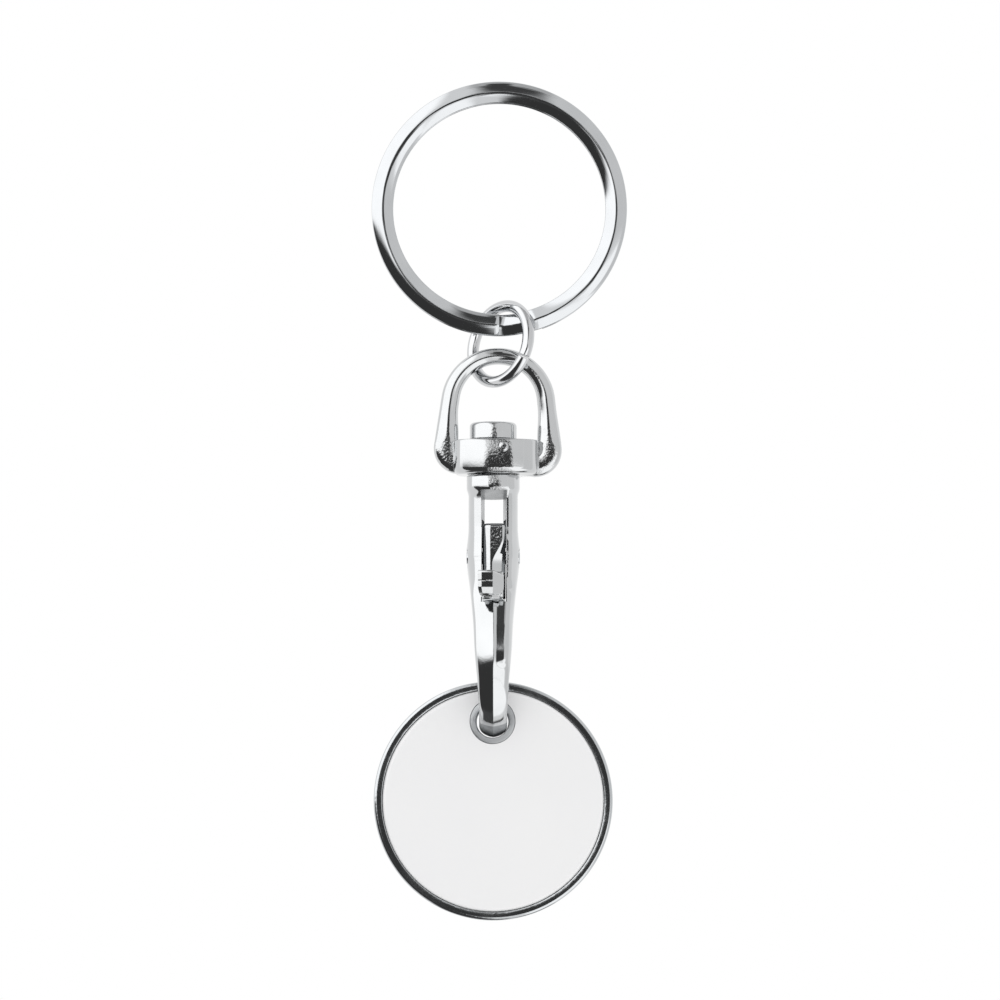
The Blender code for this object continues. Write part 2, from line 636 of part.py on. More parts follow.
def knob_outline():
    """Points (y, z) of the thumb knob, whose outer side is ribbed across."""
    top, foot = -KNOB_TOP_DROP, -SLOT_FOOT_DROP
    ribbed = top - foot - 2 * KNOB_ROUND
    pitch = ribbed / RIB_COUNT
    outer = -KNOB_REACH
    points = [(outer + KNOB_THICKNESS, foot), (outer + KNOB_THICKNESS, top)]
    points += arc((outer + KNOB_ROUND, top - KNOB_ROUND), KNOB_ROUND, QUARTER_TURN, math.pi, CORNER_STEPS)
    for k in range(RIB_COUNT - 1):
        rib_foot = top - KNOB_ROUND - pitch * k - RIB_WIDTH
        next_rib = top - KNOB_ROUND - pitch * (k + 1)
        middle = (rib_foot + next_rib) / 2
        points += [(outer, rib_foot), (outer + RIB_DEPTH, middle), (outer, next_rib)]
    points += arc((outer + KNOB_ROUND, foot + KNOB_ROUND), KNOB_ROUND, math.pi, math.pi + QUARTER_TURN,
                  CORNER_STEPS)
    return [(PIVOT.y + y, PIVOT.z + z) for y, z in points]


def make_trigger(material, parent):
    middle = HOOK_X + TRIGGER_SHIFT
    trigger = prism("trigger", trigger_outline(), TRIGGER_WIDTH, middle)
    knob = prism("trigger_knob", knob_outline(), KNOB_WIDTH, HOOK_X + KNOB_SHIFT)
    combine(trigger, knob, "UNION")
    reach = TRIGGER_WIDTH / 2 + CUT_OVERRUN
    hole_centre = Vector((middle, PIVOT.y, PIVOT.z))
    hole = cutter("trigger_hole", PIN_RADIUS + PIN_RUNNING_GAP, reach, PIN_SEGMENTS, hole_centre, "X")
    combine(trigger, hole, "DIFFERENCE")
    seat(trigger, material, PIVOT, parent)
    return trigger


def make_pivot_pin(material, parent):
    end = edge_above(PIN_RADIUS, SHOULDER_HALF_WIDTH - PIN_HOLE_GAP, PIN_END_ROUND, PIN_END_STEPS)
    profile = [*reversed(end)] + [(radius, -height) for radius, height in end]
    pin = turned("pivot_pin", profile, PIN_SEGMENTS, PIVOT, "X")
    seat(pin, material, PIVOT, parent)
    return pin


def make_trigger_spring(material, parent):
    """One unbroken coil along Y, from the back of the tail to the wall behind it."""
    start = TAIL_BACK + SPRING_SEAT_GAP + SPRING_WIRE_RADIUS
    end = BACK_WALL_SETBACK - SPRING_SEAT_GAP - SPRING_WIRE_RADIUS
    steps = SPRING_TURNS * SPRING_POINTS_PER_TURN
    middle = PIVOT + Vector((SLOT_SHIFT, 0, SPRING_RISE))
    points = []
    for k in range(steps + 1):
        turn = 2 * math.pi * k / SPRING_POINTS_PER_TURN
        points.append(middle + Vector((
            SPRING_COIL_RADIUS * math.cos(turn),
            start + (end - start) * k / steps,
            SPRING_COIL_RADIUS * math.sin(turn),
        )))
    least = min(
        (points[a] - points[b]).length
        for a in range(len(points))
        for b in range(a + SPRING_POINTS_PER_TURN // 2, len(points))
    )
    print("trigger spring: least gap to itself", round((least - 2 * SPRING_WIRE_RADIUS) * 1000, 3), "mm")
    section = superellipse(SPRING_SIDES, SPRING_WIRE_RADIUS, SPRING_WIRE_RADIUS, ROUND)
    rings = []
    for k, point in enumerate(points):
        along = (points[min(k + 1, steps)] - points[max(k - 1, 0)]).normalized()
        across = along.cross(Vector((point.x - middle.x, 0, point.z - middle.z))).normalized()
        outward = across.cross(along)
        rings.append([point + u * outward + v * across for u, v in section])
    spring = loft("trigger_spring", rings)
    seat(spring, material, PIVOT, parent)
    return spring


def make_coin(material, parent):
    """A round blank with a recess in each face, pierced near its edge by an eyeleted hole."""
    centre = Vector((HOOK_X, 0, COIN_CENTRE_Z))
    recess_radius = COIN_RADIUS - COIN_RIM_WIDTH
    half = [(recess_radius, COIN_HALF - COIN_RECESS_DEPTH), (recess_radius, COIN_HALF)]
    half += reversed(edge_above(COIN_RADIUS, COIN_HALF, COIN_EDGE_ROUND, COIN_EDGE_STEPS))
    profile = half + [(radius, -height) for radius, height in reversed(half)]
    coin = turned("coin", profile, COIN_SEGMENTS, centre, "Y")
    eyelet = cutter("coin_eyelet", COIN_EYELET_RADIUS, COIN_HALF, COIN_HOLE_SEGMENTS, COIN_HOLE, "Y")
    combine(coin, eyelet, "UNION")
    reach = COIN_HALF + CUT_OVERRUN
    hole = cutter("coin_hole", COIN_HOLE_RADIUS, reach, COIN_HOLE_SEGMENTS, COIN_HOLE, "Y")
    combine(coin, hole, "DIFFERENCE")
    seat(coin, material, COIN_HOLE, parent)
    return coin


def make_inlay(name, side, material, parent):
    """A thin disc in a recess of the coin, cut out round the eyelet; side is -1 for the front."""
    centre = Vector((HOOK_X, 0, COIN_CENTRE_Z))
    radius = COIN_RADIUS - COIN_RIM_WIDTH - INLAY_GAP
    profile = [(radius, COIN_HALF - COIN_RECESS_DEPTH + INLAY_GAP)]
    top = COIN_HALF + INLAY_PROUD
    profile += edge_above(radius, top, INLAY_EDGE_ROUND, INLAY_EDGE_STEPS)
    profile.append((radius - 2 * INLAY_EDGE_ROUND, top))
    profile = [(r, side * height) for r, height in profile]
    inlay = turned(name, profile, COIN_SEGMENTS, centre, "Y")
    reach = COIN_HALF + CUT_OVERRUN
    hole_radius = COIN_EYELET_RADIUS + INLAY_GAP
    hole = cutter(name + "_hole", hole_radius, reach, COIN_HOLE_SEGMENTS, COIN_HOLE, "Y")
    combine(inlay, hole, "DIFFERENCE")
    seat(inlay, material, COIN_HOLE, parent)
    return inlay


def main():
    clear_scene()
    nickel = principled("bright nickel plate", (0.62, 0.63, 0.64), 1.0, 0.12)
    spring_steel = principled("nickelled spring steel", (0.58, 0.59, 0.60), 1.0, 0.18)
    coin_plate = principled("nickelled iron", (0.60, 0.61, 0.62), 1.0, 0.16)
    white_print = principled("white domed print", (0.85, 0.85, 0.85), 0.0, 0.15)
    ring = make_split_ring(spring_steel)
    link = make_link(nickel, ring)
    eye = make_swivel_eye(nickel, link)
    hook = make_hook_body(nickel, eye)
    make_trigger(nickel, hook)
    make_pivot_pin(spring_steel, hook)
    make_trigger_spring(spring_steel, hook)
    coin = make_coin(coin_plate, hook)
    make_inlay("coin_inlay_front", -1, white_print, coin)
    make_inlay("coin_inlay_back", 1, white_print, coin)


main()
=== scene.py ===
"""Shopping-trolley token keyring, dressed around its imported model.

Metres, +Z up, X to the right, -Y towards the viewer. The sections follow the keyring from its
split ring down to its coin, and then come the studio and the camera.
"""

import math

import bmesh
import bpy
from mathutils import Matrix, Vector


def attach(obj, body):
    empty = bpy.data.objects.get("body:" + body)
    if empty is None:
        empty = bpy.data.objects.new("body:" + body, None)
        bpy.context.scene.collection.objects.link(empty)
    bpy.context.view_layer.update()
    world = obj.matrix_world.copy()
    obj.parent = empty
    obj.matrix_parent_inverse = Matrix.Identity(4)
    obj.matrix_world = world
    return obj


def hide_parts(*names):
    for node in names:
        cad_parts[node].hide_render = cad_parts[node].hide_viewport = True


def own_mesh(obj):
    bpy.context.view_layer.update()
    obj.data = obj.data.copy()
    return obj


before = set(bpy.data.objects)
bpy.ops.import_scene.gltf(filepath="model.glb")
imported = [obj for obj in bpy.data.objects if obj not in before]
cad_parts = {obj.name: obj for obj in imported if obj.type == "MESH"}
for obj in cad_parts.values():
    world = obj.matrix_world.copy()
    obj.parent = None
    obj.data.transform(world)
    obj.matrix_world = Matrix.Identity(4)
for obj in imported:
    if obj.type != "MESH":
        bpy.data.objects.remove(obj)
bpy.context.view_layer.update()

# ---- Split ring -------------------------------------------------------------------------------
# Two turns of flat spring wire that grip each other, so that keys are threaded between them.
# Nickel-plated spring steel: rolled flat with a slightly peaked face, coiled cold, cropped
# square, and cranked at the foot from the front coil to the one behind.

MM = 0.001


def skin(rings, closed=False):
    """A skin over rings of points, capped at both ends or closed on itself."""
    bm = bmesh.new()
    loops = [[bm.verts.new(point) for point in ring] for ring in rings]
    pairs = list(zip(loops, loops[1:]))
    if closed:
        pairs.append((loops[-1], loops[0]))
    for near, far in pairs:
        for k in range(len(near)):
            after = (k + 1) % len(near)
            bm.faces.new((near[k], near[after], far[after], far[k]))
    if not closed:
        bm.faces.new(loops[0])
        bm.faces.new(loops[-1])
    return bm


def blank(name, bm, material):
    """An object of this mesh and material, with its faces turned out."""
    bmesh.ops.recalc_face_normals(bm, faces=bm.faces)
    mesh = bpy.data.meshes.new(name)
    bm.to_mesh(mesh)
    bm.free()
    mesh.materials.append(material)
    thing = bpy.data.objects.new(name, mesh)
    bpy.context.scene.collection.objects.link(thing)
    return thing


def settle(thing):
    """Makes the modifiers of a piece part of its mesh."""
    depsgraph = bpy.context.evaluated_depsgraph_get()
    shape = bpy.data.meshes.new_from_object(thing.evaluated_get(depsgraph))
    thing.modifiers.clear()
    thing.data = shape


def hang_on(thing, body, slot, *nodes):
    """Finishes a piece: shaded round between its edges, and put in place of CAD nodes."""
    sharpest_round = math.radians(35)
    thing.data.shade_smooth()
    thing.data.set_sharp_from_angle(angle=sharpest_round)
    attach(thing, body)
    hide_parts(*nodes)


def oval(count, half_u, half_v, power=2):
    """Points (u, v) round an oval: square-shouldered above a power of 2, peaked below it."""
    points = []
    for k in range(count):
        turn = 2 * math.pi * k / count
        cosine, sine = math.cos(turn), math.sin(turn)
        u = math.copysign(abs(cosine) ** (2 / power), cosine) * half_u
        v = math.copysign(abs(sine) ** (2 / power), sine) * half_v
        points.append((u, v))
    return points


def ease(share):
    """A share held between 0 and 1, which starts and stops gently."""
    share = min(max(share, 0), 1)
    return share * share * (3 - 2 * share)


def linear(code):
    """An sRGB colour, written in hex, as the linear colour that Blender mixes."""
    parts = [int(code[k:k + 2], 16) / 255 for k in (1, 3, 5)]
    return [p / 12.92 if p <= 0.04045 else ((p + 0.055) / 1.055) ** 2.4 for p in parts] + [1]


def add_node(tree, kind, inputs=(), **settings):
    """Adds a node with its settings; an input is a value or the output that feeds it."""
    node = tree.nodes.new(kind)
    for name, value in settings.items():
        setattr(node, name, value)
    for socket, value in dict(inputs).items():
        if isinstance(value, bpy.types.NodeSocket):
            tree.links.new(value, node.inputs[socket])
        else:
            node.inputs[socket].default_value = value
    return node


def cloudy(tree, cloud, bright, dull, detail=2):
    """Where a point is, how it drifts in clouds of this size, and its tone between two colours."""
    place = add_node(tree, "ShaderNodeTexCoord").outputs["Object"]
    drift = add_node(tree, "ShaderNodeTexNoise", {"Vector": place, "Scale": 1 / cloud,
                                                  "Detail": detail}).outputs["Fac"]
    tone = add_node(tree, "ShaderNodeMix", {"Factor": drift, 6: linear(bright), 7: linear(dull)},
                    data_type="RGBA").outputs[2]
    return place, drift, tone


def plate(name, bright, dull, smooth, rough, grain, depth, cast=False, wound=None):
    """Nickel plate: its tone and polish drift in clouds, and the metal under it has a grain.
    On castings the grain is strong where the attribute grit says so, and edges are tumbled soft.
    On flat wire wound about a point, the grain is drawn out along the wire."""
    cloud, tumbled_edge, drawn_out = 2.5 * MM, 0.07 * MM, 0.6 * MM
    material = bpy.data.materials.new(name)
    material.use_nodes = True
    tree = material.node_tree
    shader = tree.nodes["Principled BSDF"]
    place, drift, tone = cloudy(tree, cloud, bright, dull, 3)
    polish = add_node(tree, "ShaderNodeMapRange", {
        "Value": drift, "From Min": 0.35, "From Max": 0.7, "To Min": smooth, "To Max": rough})
    if wound:
        place = add_node(tree, "ShaderNodeVectorMath", {0: place, 1: wound},
                         operation="SUBTRACT").outputs[0]
        flat = add_node(tree, "ShaderNodeVectorMath", {0: place, 1: (1, 0, 1)},
                        operation="MULTIPLY")
        away = add_node(tree, "ShaderNodeVectorMath", {0: flat.outputs[0]}, operation="LENGTH")
        parts = add_node(tree, "ShaderNodeSeparateXYZ", {0: place})
        turn = add_node(tree, "ShaderNodeMath", {0: parts.outputs["X"], 1: parts.outputs["Z"]},
                        operation="ARCTAN2")
        along = add_node(tree, "ShaderNodeMath", {0: turn.outputs[0], 1: drawn_out},
                         operation="MULTIPLY")
        place = add_node(tree, "ShaderNodeCombineXYZ", {
            "X": away.outputs["Value"], "Y": parts.outputs["Y"],
            "Z": along.outputs[0]}).outputs[0]
    peel = add_node(tree, "ShaderNodeTexNoise", {"Vector": place, "Scale": 1 / grain, "Detail": 2})
    bump = add_node(tree, "ShaderNodeBump", {"Height": peel.outputs["Fac"], "Distance": depth,
                                             "Strength": 1})
    if cast:
        grit = add_node(tree, "ShaderNodeAttribute", attribute_name="grit")
        soft_edge = add_node(tree, "ShaderNodeBevel", {"Radius": tumbled_edge}, samples=6)
        tree.links.new(grit.outputs["Fac"], bump.inputs["Strength"])
        tree.links.new(soft_edge.outputs["Normal"], bump.inputs["Normal"])
    shader.inputs["Metallic"].default_value = 1
    tree.links.new(tone, shader.inputs["Base Color"])
    tree.links.new(polish.outputs["Result"], shader.inputs["Roughness"])
    tree.links.new(bump.outputs["Normal"], shader.inputs["Normal"])
    return material


ring_outer, ring_band = 12.5 * MM, 2.1 * MM
ring_mean = ring_outer - ring_band / 2
ring_middle = Vector((0, 0, ring_band - ring_outer))
coil_thick, coil_gap = 0.75 * MM, 0.1 * MM
peaked, cropped = 1.5, 0.93
crank_turn = 3.5 * MM / ring_mean
clear_turn = 0.2 * MM / ring_mean
chamfer = 0.05 * MM
crank_from = 2 * math.pi - crank_turn - clear_turn
whole_turn = 2 * math.pi + crank_from - clear_turn

coil_steps, crank_steps = 300, 16
turns = [whole_turn * k / coil_steps for k in range(coil_steps + 1)]
turns = sorted(turns + [crank_from + crank_turn * k / crank_steps for k in range(crank_steps + 1)])
turns = [0, chamfer / ring_mean] + turns[1:-1] + [whole_turn - chamfer / ring_mean, whole_turn]

# Nickelled spring steel is a shade darker than cast parts, and the rolls leave lines along it.
# Real roll lines are too fine to show, so these are drawn about 0.2 mm apart
nickelled_spring_steel = plate("nickelled rolled spring steel", "#CDCFD1", "#C2C4C6", 0.05, 0.09,
                               grain=0.2 * MM, depth=0.007 * MM, wound=ring_middle)

rings = []
for turn in turns:
    end = 1 if 0 < turn < whole_turn else cropped
    deep = (coil_thick + coil_gap) * (ease((turn - crank_from) / crank_turn) - 0.5)
    angle = -math.pi / 2 - turn
    ring = []
    for out, along in oval(40, end * ring_band / 2, end * coil_thick / 2, peaked):
        away = ring_mean + out
        ring.append(ring_middle + Vector((away * math.cos(angle), deep + along,
                                          away * math.sin(angle))))
    rings.append(ring)
ring_coils = blank("ring_coils", skin(rings), nickelled_spring_steel)
hang_on(ring_coils, "ring", "spring_steel", "split_ring")

# ---- Jump ring --------------------------------------------------------------------------------
# The small open ring that joins the split ring to the swivel eye. Nickel-plated steel wire,
# drawn round, cut from a coil and closed with pliers, so that its sheared ends nearly meet.

# Drawn wire is the brightest and smoothest metal here, and only faintly uneven
nickelled_wire = plate("nickelled drawn wire", "#D2D3D4", "#C8C9CB", 0.04, 0.08,
                       grain=0.4 * MM, depth=0.002 * MM)

link_mean, link_wire = 3.83 * MM, 0.585 * MM
link_butt_gap, link_burr, sheared = 0.18 * MM, 0.06 * MM, 0.9
link_middle = Vector((0.13 * MM, -0.4 * MM, -23.72 * MM))
yaw, pitch, butt_turn = math.radians(46), math.radians(-11), math.radians(-158)
link_face = Vector((math.sin(yaw) * math.cos(pitch), math.cos(yaw) * math.cos(pitch),
                    math.sin(pitch)))
link_up = (Vector((0, 0, 1)) - link_face.z * link_face).normalized()
link_level = link_up.cross(link_face)

half_gap = link_butt_gap / link_mean / 2
span = 2 * math.pi - 2 * half_gap
bevel, link_steps = link_burr / link_mean, 120
steps = [bevel + (span - 2 * bevel) * k / link_steps for k in range(link_steps + 1)]
rings = []
for step in [0, *steps, span]:
    angle = butt_turn + half_gap + step
    outward = math.cos(angle) * link_level + math.sin(angle) * link_up
    middle = link_middle + link_mean * outward
    end = sheared if step in (0, span) else 1
    rings.append([middle + u * outward + v * link_face
                  for u, v in oval(28, end * link_wire, end * link_wire)])
jump_wire = blank("jump_wire", skin(rings), nickelled_wire)
hang_on(jump_wire, "jump_ring", "bright_nickel", "link")

# ---- Swivel eye -------------------------------------------------------------------------------
# The D-shaped loop and the drum across its foot, in which the hook's stud turns. One die
# casting in zinc, tumbled and nickel-plated; the stub of its broken-off sprue is left on the
# drum.

# Bright nickel over a casting: a mirror with a fine orange peel and, where tumbling did not
# reach, the pitted grain of the die
bright_nickel = plate("bright nickel on die-cast zinc", "#D0D1D2", "#C4C6C7", 0.05, 0.10,
                      grain=0.22 * MM, depth=0.02 * MM, cast=True)

# Inside bores and slots, plating hardly reaches the die-cast skin, which stays dull and dark.
# Its dark tone is also painted shade, laid on these hollows, the sprue's crater and the stud's neck
bare_casting_and_shade = plate("thinly plated die-cast zinc darkened as painted shade", "#8F9294", "#7A7D7F", 0.22, 0.35,
                     grain=0.15 * MM, depth=0.006 * MM)

eye_crown = Vector((0, 0, -24.895 * MM))
crown_radius, crown_wire, eye_wire = 4.69 * MM, 0.82 * MM, 0.9 * MM
eye_height, corner_radius = 10.75 * MM, 1.6 * MM
flare, lean = math.radians(7.5), math.radians(1.3)
drum_middle_x, drum_squareness = -0.294 * MM, 2.9
drum_half_width, drum_half_depth = 4.18 * MM, 3.5 * MM
drum_low, drum_high = -36.575 * MM, -33.225 * MM
drum_foot_round, drum_top_round = 0.6 * MM, 0.15 * MM
hook_x, stud_bore = -0.594 * MM, 1.68 * MM


def bow(middle, radius, start, end, count):
    """Points along an arc, from its first angle to its last."""
    points = []
    for k in range(count + 1):
        angle = start + (end - start) * k / count
        points.append((middle[0] + radius * math.cos(angle), middle[1] + radius * math.sin(angle)))
    return points


def edge_arc(u, v, edge, start, end, count):
    """Points along the arc that rounds off an upper outer corner at (u, v)."""
    return bow((u - edge, v - edge), edge, start, end, count)


def turned(profile, middle, count=96, axis="Z", power=2, squash=1):
    """A solid turned from (radius, height) points about an axis through its middle."""
    turn = {"Z": Matrix(), "X": Matrix.Rotation(math.pi / 2, 4, "Y"),
            "Y": Matrix.Rotation(-math.pi / 2, 4, "X")}[axis]
    place = Matrix.Translation(middle) @ turn
    rings = []
    for radius, height in profile:
        outline = oval(count, radius, radius * squash, power)
        rings.append([place @ Vector((u, v, height)) for u, v in outline])
    return skin(rings)


def rod(radius, low, high, middle, count, axis="Z", squash=1):
    """A solid of one radius, between two heights on an axis through its middle."""
    return turned([(radius, low), (radius, high)], middle, count, axis, squash=squash)


def carve(thing, bm, operation="DIFFERENCE", material=None):
    """Cuts a shape from a piece, or casts it on; the material is what the cut lays bare."""
    tool = blank("tool", bm, material or thing.data.materials[0])
    change = thing.modifiers.new("carve", "BOOLEAN")
    change.operation, change.solver, change.object = operation, "EXACT", tool
    change.material_mode = "TRANSFER"
    settle(thing)
    bpy.data.objects.remove(tool)


def give_grit(thing, amount):
    """Marks how far tumbling has left the cast grain on each point of a piece."""
    grit = thing.data.attributes.new("grit", "FLOAT", "POINT")
    grit.data.foreach_set("value", [amount(vertex.co) for vertex in thing.data.vertices])


# One half of the loop: round its crown, down its flared leg, round the corner and to its foot
half = bow((0, -crown_radius), crown_radius, math.pi / 2, flare, 30)
side_x, side_z = half[-1]
corner_z = corner_radius - eye_height
run = (side_z - corner_z - corner_radius * math.sin(flare)) / math.cos(flare)
corner_x = side_x + run * math.sin(flare) - corner_radius * math.cos(flare)
half += [(side_x + run * k / 12 * math.sin(flare), side_z - run * k / 12 * math.cos(flare))
         for k in range(1, 12)]
half += bow((corner_x, corner_z), corner_radius, flare, -math.pi / 2, 16)
half += [(corner_x * (1 - k / 8), -eye_height) for k in range(1, 8)]
line = half + [(0, -eye_height)] + [(-x, z) for x, z in reversed(half[1:])]
tilt = Matrix.Rotation(lean, 3, "Y")
# Towards its foot each leg thickens inward and grows squarer, and the right leg stands out
left_swell, right_swell, right_spread, right_leg = 0.26 * MM, 0.27 * MM, 0.12 * MM, 2.6 * MM
thickens_at, squares_at, foot_squareness = 0.45, 0.7, 1.2
rings = []
for k, (x, z) in enumerate(line):
    before, after = line[k - 1], line[(k + 1) % len(line)]
    along = Vector((after[0] - before[0], 0, after[1] - before[1])).normalized()
    outward = Vector((-along.z, 0, along.x))
    wire = crown_wire + (eye_wire - crown_wire) * ease(-z / crown_radius)
    foot = ease((-z / eye_height - thickens_at) / 0.35)
    swell = (left_swell if x < 0 else right_swell) * foot
    spread = right_spread * foot * ease((x - right_leg) / (1.2 * MM))
    squareness = 2 + foot_squareness * ease((-z / eye_height - squares_at) / 0.15)
    rings.append([eye_crown + tilt @ (Vector((x, v, z)) + (u - swell + spread) * outward)
                  for u, v in oval(40, wire + swell, wire, squareness)])
eye_casting = blank("eye_casting", skin(rings, closed=True), bright_nickel)

profile = bow((drum_half_width - drum_foot_round, drum_low + drum_foot_round), drum_foot_round,
              -math.pi / 2, 0, 8)
profile += edge_arc(drum_half_width, drum_high, drum_top_round, 0, math.pi / 2, 4)
carve(eye_casting, turned(profile, Vector((drum_middle_x, 0, 0)), 128, power=drum_squareness,
                          squash=drum_half_depth / drum_half_width), "UNION")

# A web fills the corner between the drum and the right leg
web_radius, web_half, web_flat = 1.1 * MM, 0.5 * MM, 0.5
web_middle = Vector((4.15 * MM, 0, -34.5 * MM))
carve(eye_casting, rod(web_radius, -web_half, web_half, web_middle, 40, "X", web_flat), "UNION")

# The sprue's stub is a round pip with a crater, where it broke off
pip = Vector((0.42 * MM, 0.03 * MM - drum_half_depth, -34.02 * MM))
pip_radius, pip_root = 0.46 * MM, 0.3 * MM
pip_profile = [(pip_radius, pip_root), (pip_radius, 0)]
pip_profile += bow((0.28 * MM, 0), 0.18 * MM, 0, -math.pi / 2, 6)[1:]
carve(eye_casting, turned(pip_profile, pip, 32, "Y"), "UNION")
crater = pip + Vector((0.07 * MM, 0, 0.04 * MM))
crater_mouth, crater_floor, crater_out = 0.21 * MM, 0.16 * MM, 0.5 * MM
# The crater and the stud's bore show the dull, darker casting, whose dark tone also paints the
# shade in them
carve(eye_casting, turned([(crater_mouth, -crater_out), (crater_floor, pip_root)], crater, 24, "Y"),
      material=bare_casting_and_shade)
carve(eye_casting, rod(stud_bore, drum_low - MM, drum_high + MM, Vector((hook_x, 0, 0)), 64),
      material=bare_casting_and_shade)

# The die's grain is left at the loop's feet, down the middle of the drum's front, and in a
# spot on the loop's right shoulder
grit_top, grit_leg, grit_drum = -31 * MM, 3.8 * MM, 0.25 * MM
grit_spot = Vector((3.4 * MM, 0, -26.8 * MM))


def eye_grit(p):
    low = ease((grit_top - p.z) / (3 * MM))
    on_drum = math.exp(-((p.x - grit_drum) / (1.3 * MM)) ** 2)
    on_legs = ease((abs(p.x) - grit_leg) / (0.5 * MM))
    on_shoulder = math.exp(-((p.x - grit_spot.x) / (0.7 * MM)) ** 2
                           - ((p.z - grit_spot.z) / (0.9 * MM)) ** 2)
    return 0.08 + 0.9 * low * max(on_drum, on_legs) + 0.7 * on_shoulder


give_grit(eye_casting, eye_grit)
hang_on(eye_casting, "eye", "bright_nickel", "swivel_eye")

# ---- Hook -------------------------------------------------------------------------------------
# The stud, collar, barrel, spine, bend and nose of the snap hook, in one zinc die casting,
# tumbled and nickel-plated. Its stud is headed over above the drum, so that it turns there.

stud_radius, head_radius = 1.6 * MM, 2.3 * MM
head_low, head_high, head_edge = -33.025 * MM, -31.425 * MM, 0.4 * MM
collar_top, collar_radius, collar_height = -36.665 * MM, 2.6 * MM, 1.2 * MM
collar_edge, collar_foot, collar_fillet = 0.12 * MM, 0.15 * MM, 0.8 * MM
barrel_radius, barrel_height = 2.41 * MM, 5.0 * MM
pivot = Vector((hook_x, 0, -44.665 * MM))
shoulder_wide, shoulder_deep, shoulder_back = 2.65 * MM, 2.7 * MM, 0.2 * MM
bend_z, bend_radius, hook_wire = -56.89 * MM, 3.95 * MM, 1.325 * MM
nose_rise, nose_tip = 4.6 * MM, 0.9 * MM
nose_inner = bend_radius - hook_wire
# The shank is worn into the bend in a long oval, which starts above the bend's own centre
brow_deep = bend_radius + hook_wire
brow_tall = brow_deep + 2.45 * MM
hook_half_width = 1.37 * MM
# How much of its width and depth at the shoulder the spine keeps, on the way to the bend
spine_width_shares = ((0.0, 1.0), (0.14, 0.84), (0.26, 0.70), (0.36, 0.60), (0.54, 0.45),
                      (0.74, 0.35), (0.90, 0.22), (1.0, 0.12))
spine_depth_shares = ((0.0, 1.0), (0.14, 0.80), (0.26, 0.50), (0.36, 0.30), (0.54, 0.14),
                      (0.74, 0.06), (0.90, 0.02), (1.0, 0.0))


def along_table(table, share):
    """The value at this share of a table, drawn through its points as a smooth curve."""
    for k in range(len(table) - 1):
        (low, first), (high, last) = table[k], table[k + 1]
        if share <= high or k == len(table) - 2:
            before, after = table[max(k - 1, 0)], table[min(k + 2, len(table) - 1)]
            width = high - low
            t = min(max((share - low) / width, 0), 1)
            rise_in = (last - before[1]) / (high - before[0]) * width
            rise_out = (after[1] - first) / (after[0] - low) * width
            return ((2 * t ** 3 - 3 * t ** 2 + 1) * first + (t ** 3 - 2 * t ** 2 + t) * rise_in
                    + (3 * t ** 2 - 2 * t ** 3) * last + (t ** 3 - t ** 2) * rise_out)


def spine_at(share):
    """The middle of the spine (y, z) at this share of its curve, from the pivot to the bend."""
    height = pivot.z - bend_z
    ends = ((-shoulder_back, pivot.z), (-shoulder_back, pivot.z - 0.30 * height),
            (-bend_radius, bend_z + 0.53 * height), (-bend_radius, bend_z))
    rest = 1 - share
    weights = (rest ** 3, 3 * rest ** 2 * share, 3 * rest * share ** 2, share ** 3)
    return [sum(w * end[axis] for w, end in zip(weights, ends)) for axis in (0, 1)]


# The front of a slice is crisp along its crest, and beside the crest at the edges of a narrow
# land, so its points lie closest there
crest_shares = (0.012, 0.035, 0.05, 0.12, 0.16, 0.175, 0.2, 0.3, 0.42, 0.52, 0.54, 0.565, 0.62,
                0.7, 0.78, 0.85, 0.9, 0.945, 0.975, 0.994)
slice_shares = [-1, *(-share for share in reversed(crest_shares)), 0, *crest_shares, 1]
facet_slope, facet_corner = 0.30, 5
land_from, land_step, land_edge, land_corner = 0.035, 0.045, 0.54, 2.4


def section(wide, front, back, power, roof, land):
    """A slice of the hook: an oval whose front is pressed to two facets by the roof, and whose
    right facet then gives way to a land that faces forward."""
    points = []
    for share in slice_shares:
        side = abs(share)
        swell = max(1 - side ** power, 0) ** (1 / power)
        facet = (1 - facet_slope * side) * max(1 - side ** facet_corner, 0) ** (1 / facet_corner)
        if share > 0:
            step = 1 - land_step * min(max((side - land_from) / 0.13, 0), 1)
            past_edge = max((side - land_edge) / (1 - land_edge), 0)
            ledge = step * max(1 - past_edge ** land_corner, 0) ** (1 / land_corner)
            facet += (ledge - facet) * land
        points.append((share * wide, -front * (swell + (facet - swell) * roof)))
    for share in slice_shares[-2:0:-1]:
        points.append((share * wide, back * max(1 - abs(share) ** power, 0) ** (1 / power)))
    return points


def brow(turn):
    """How far the outside of the bend lies from its centre, at this turn below the level."""
    a = (math.cos(turn) / brow_deep) ** 2 + (math.sin(turn) / brow_tall) ** 2
    b = (brow_tall - brow_deep) * math.sin(turn) / brow_tall ** 2
    c = ((brow_tall - brow_deep) / brow_tall) ** 2 - 1
    return (math.sqrt(b * b - a * c) - b) / a


# Stations (y, z, half width, front, back, squareness, roof, land, run) from the stud to the nose
down, up = (0, -1), (0, 1)
round_bar, squared_bar, collar_bar = 2, 2.2, 2.6
stations = []


def add_round(y, z, radius, squareness, run):
    """Adds a station that is as deep as it is wide, with neither facets nor land."""
    stations.append((y, z, radius, radius, radius, squareness, 0, 0, run))


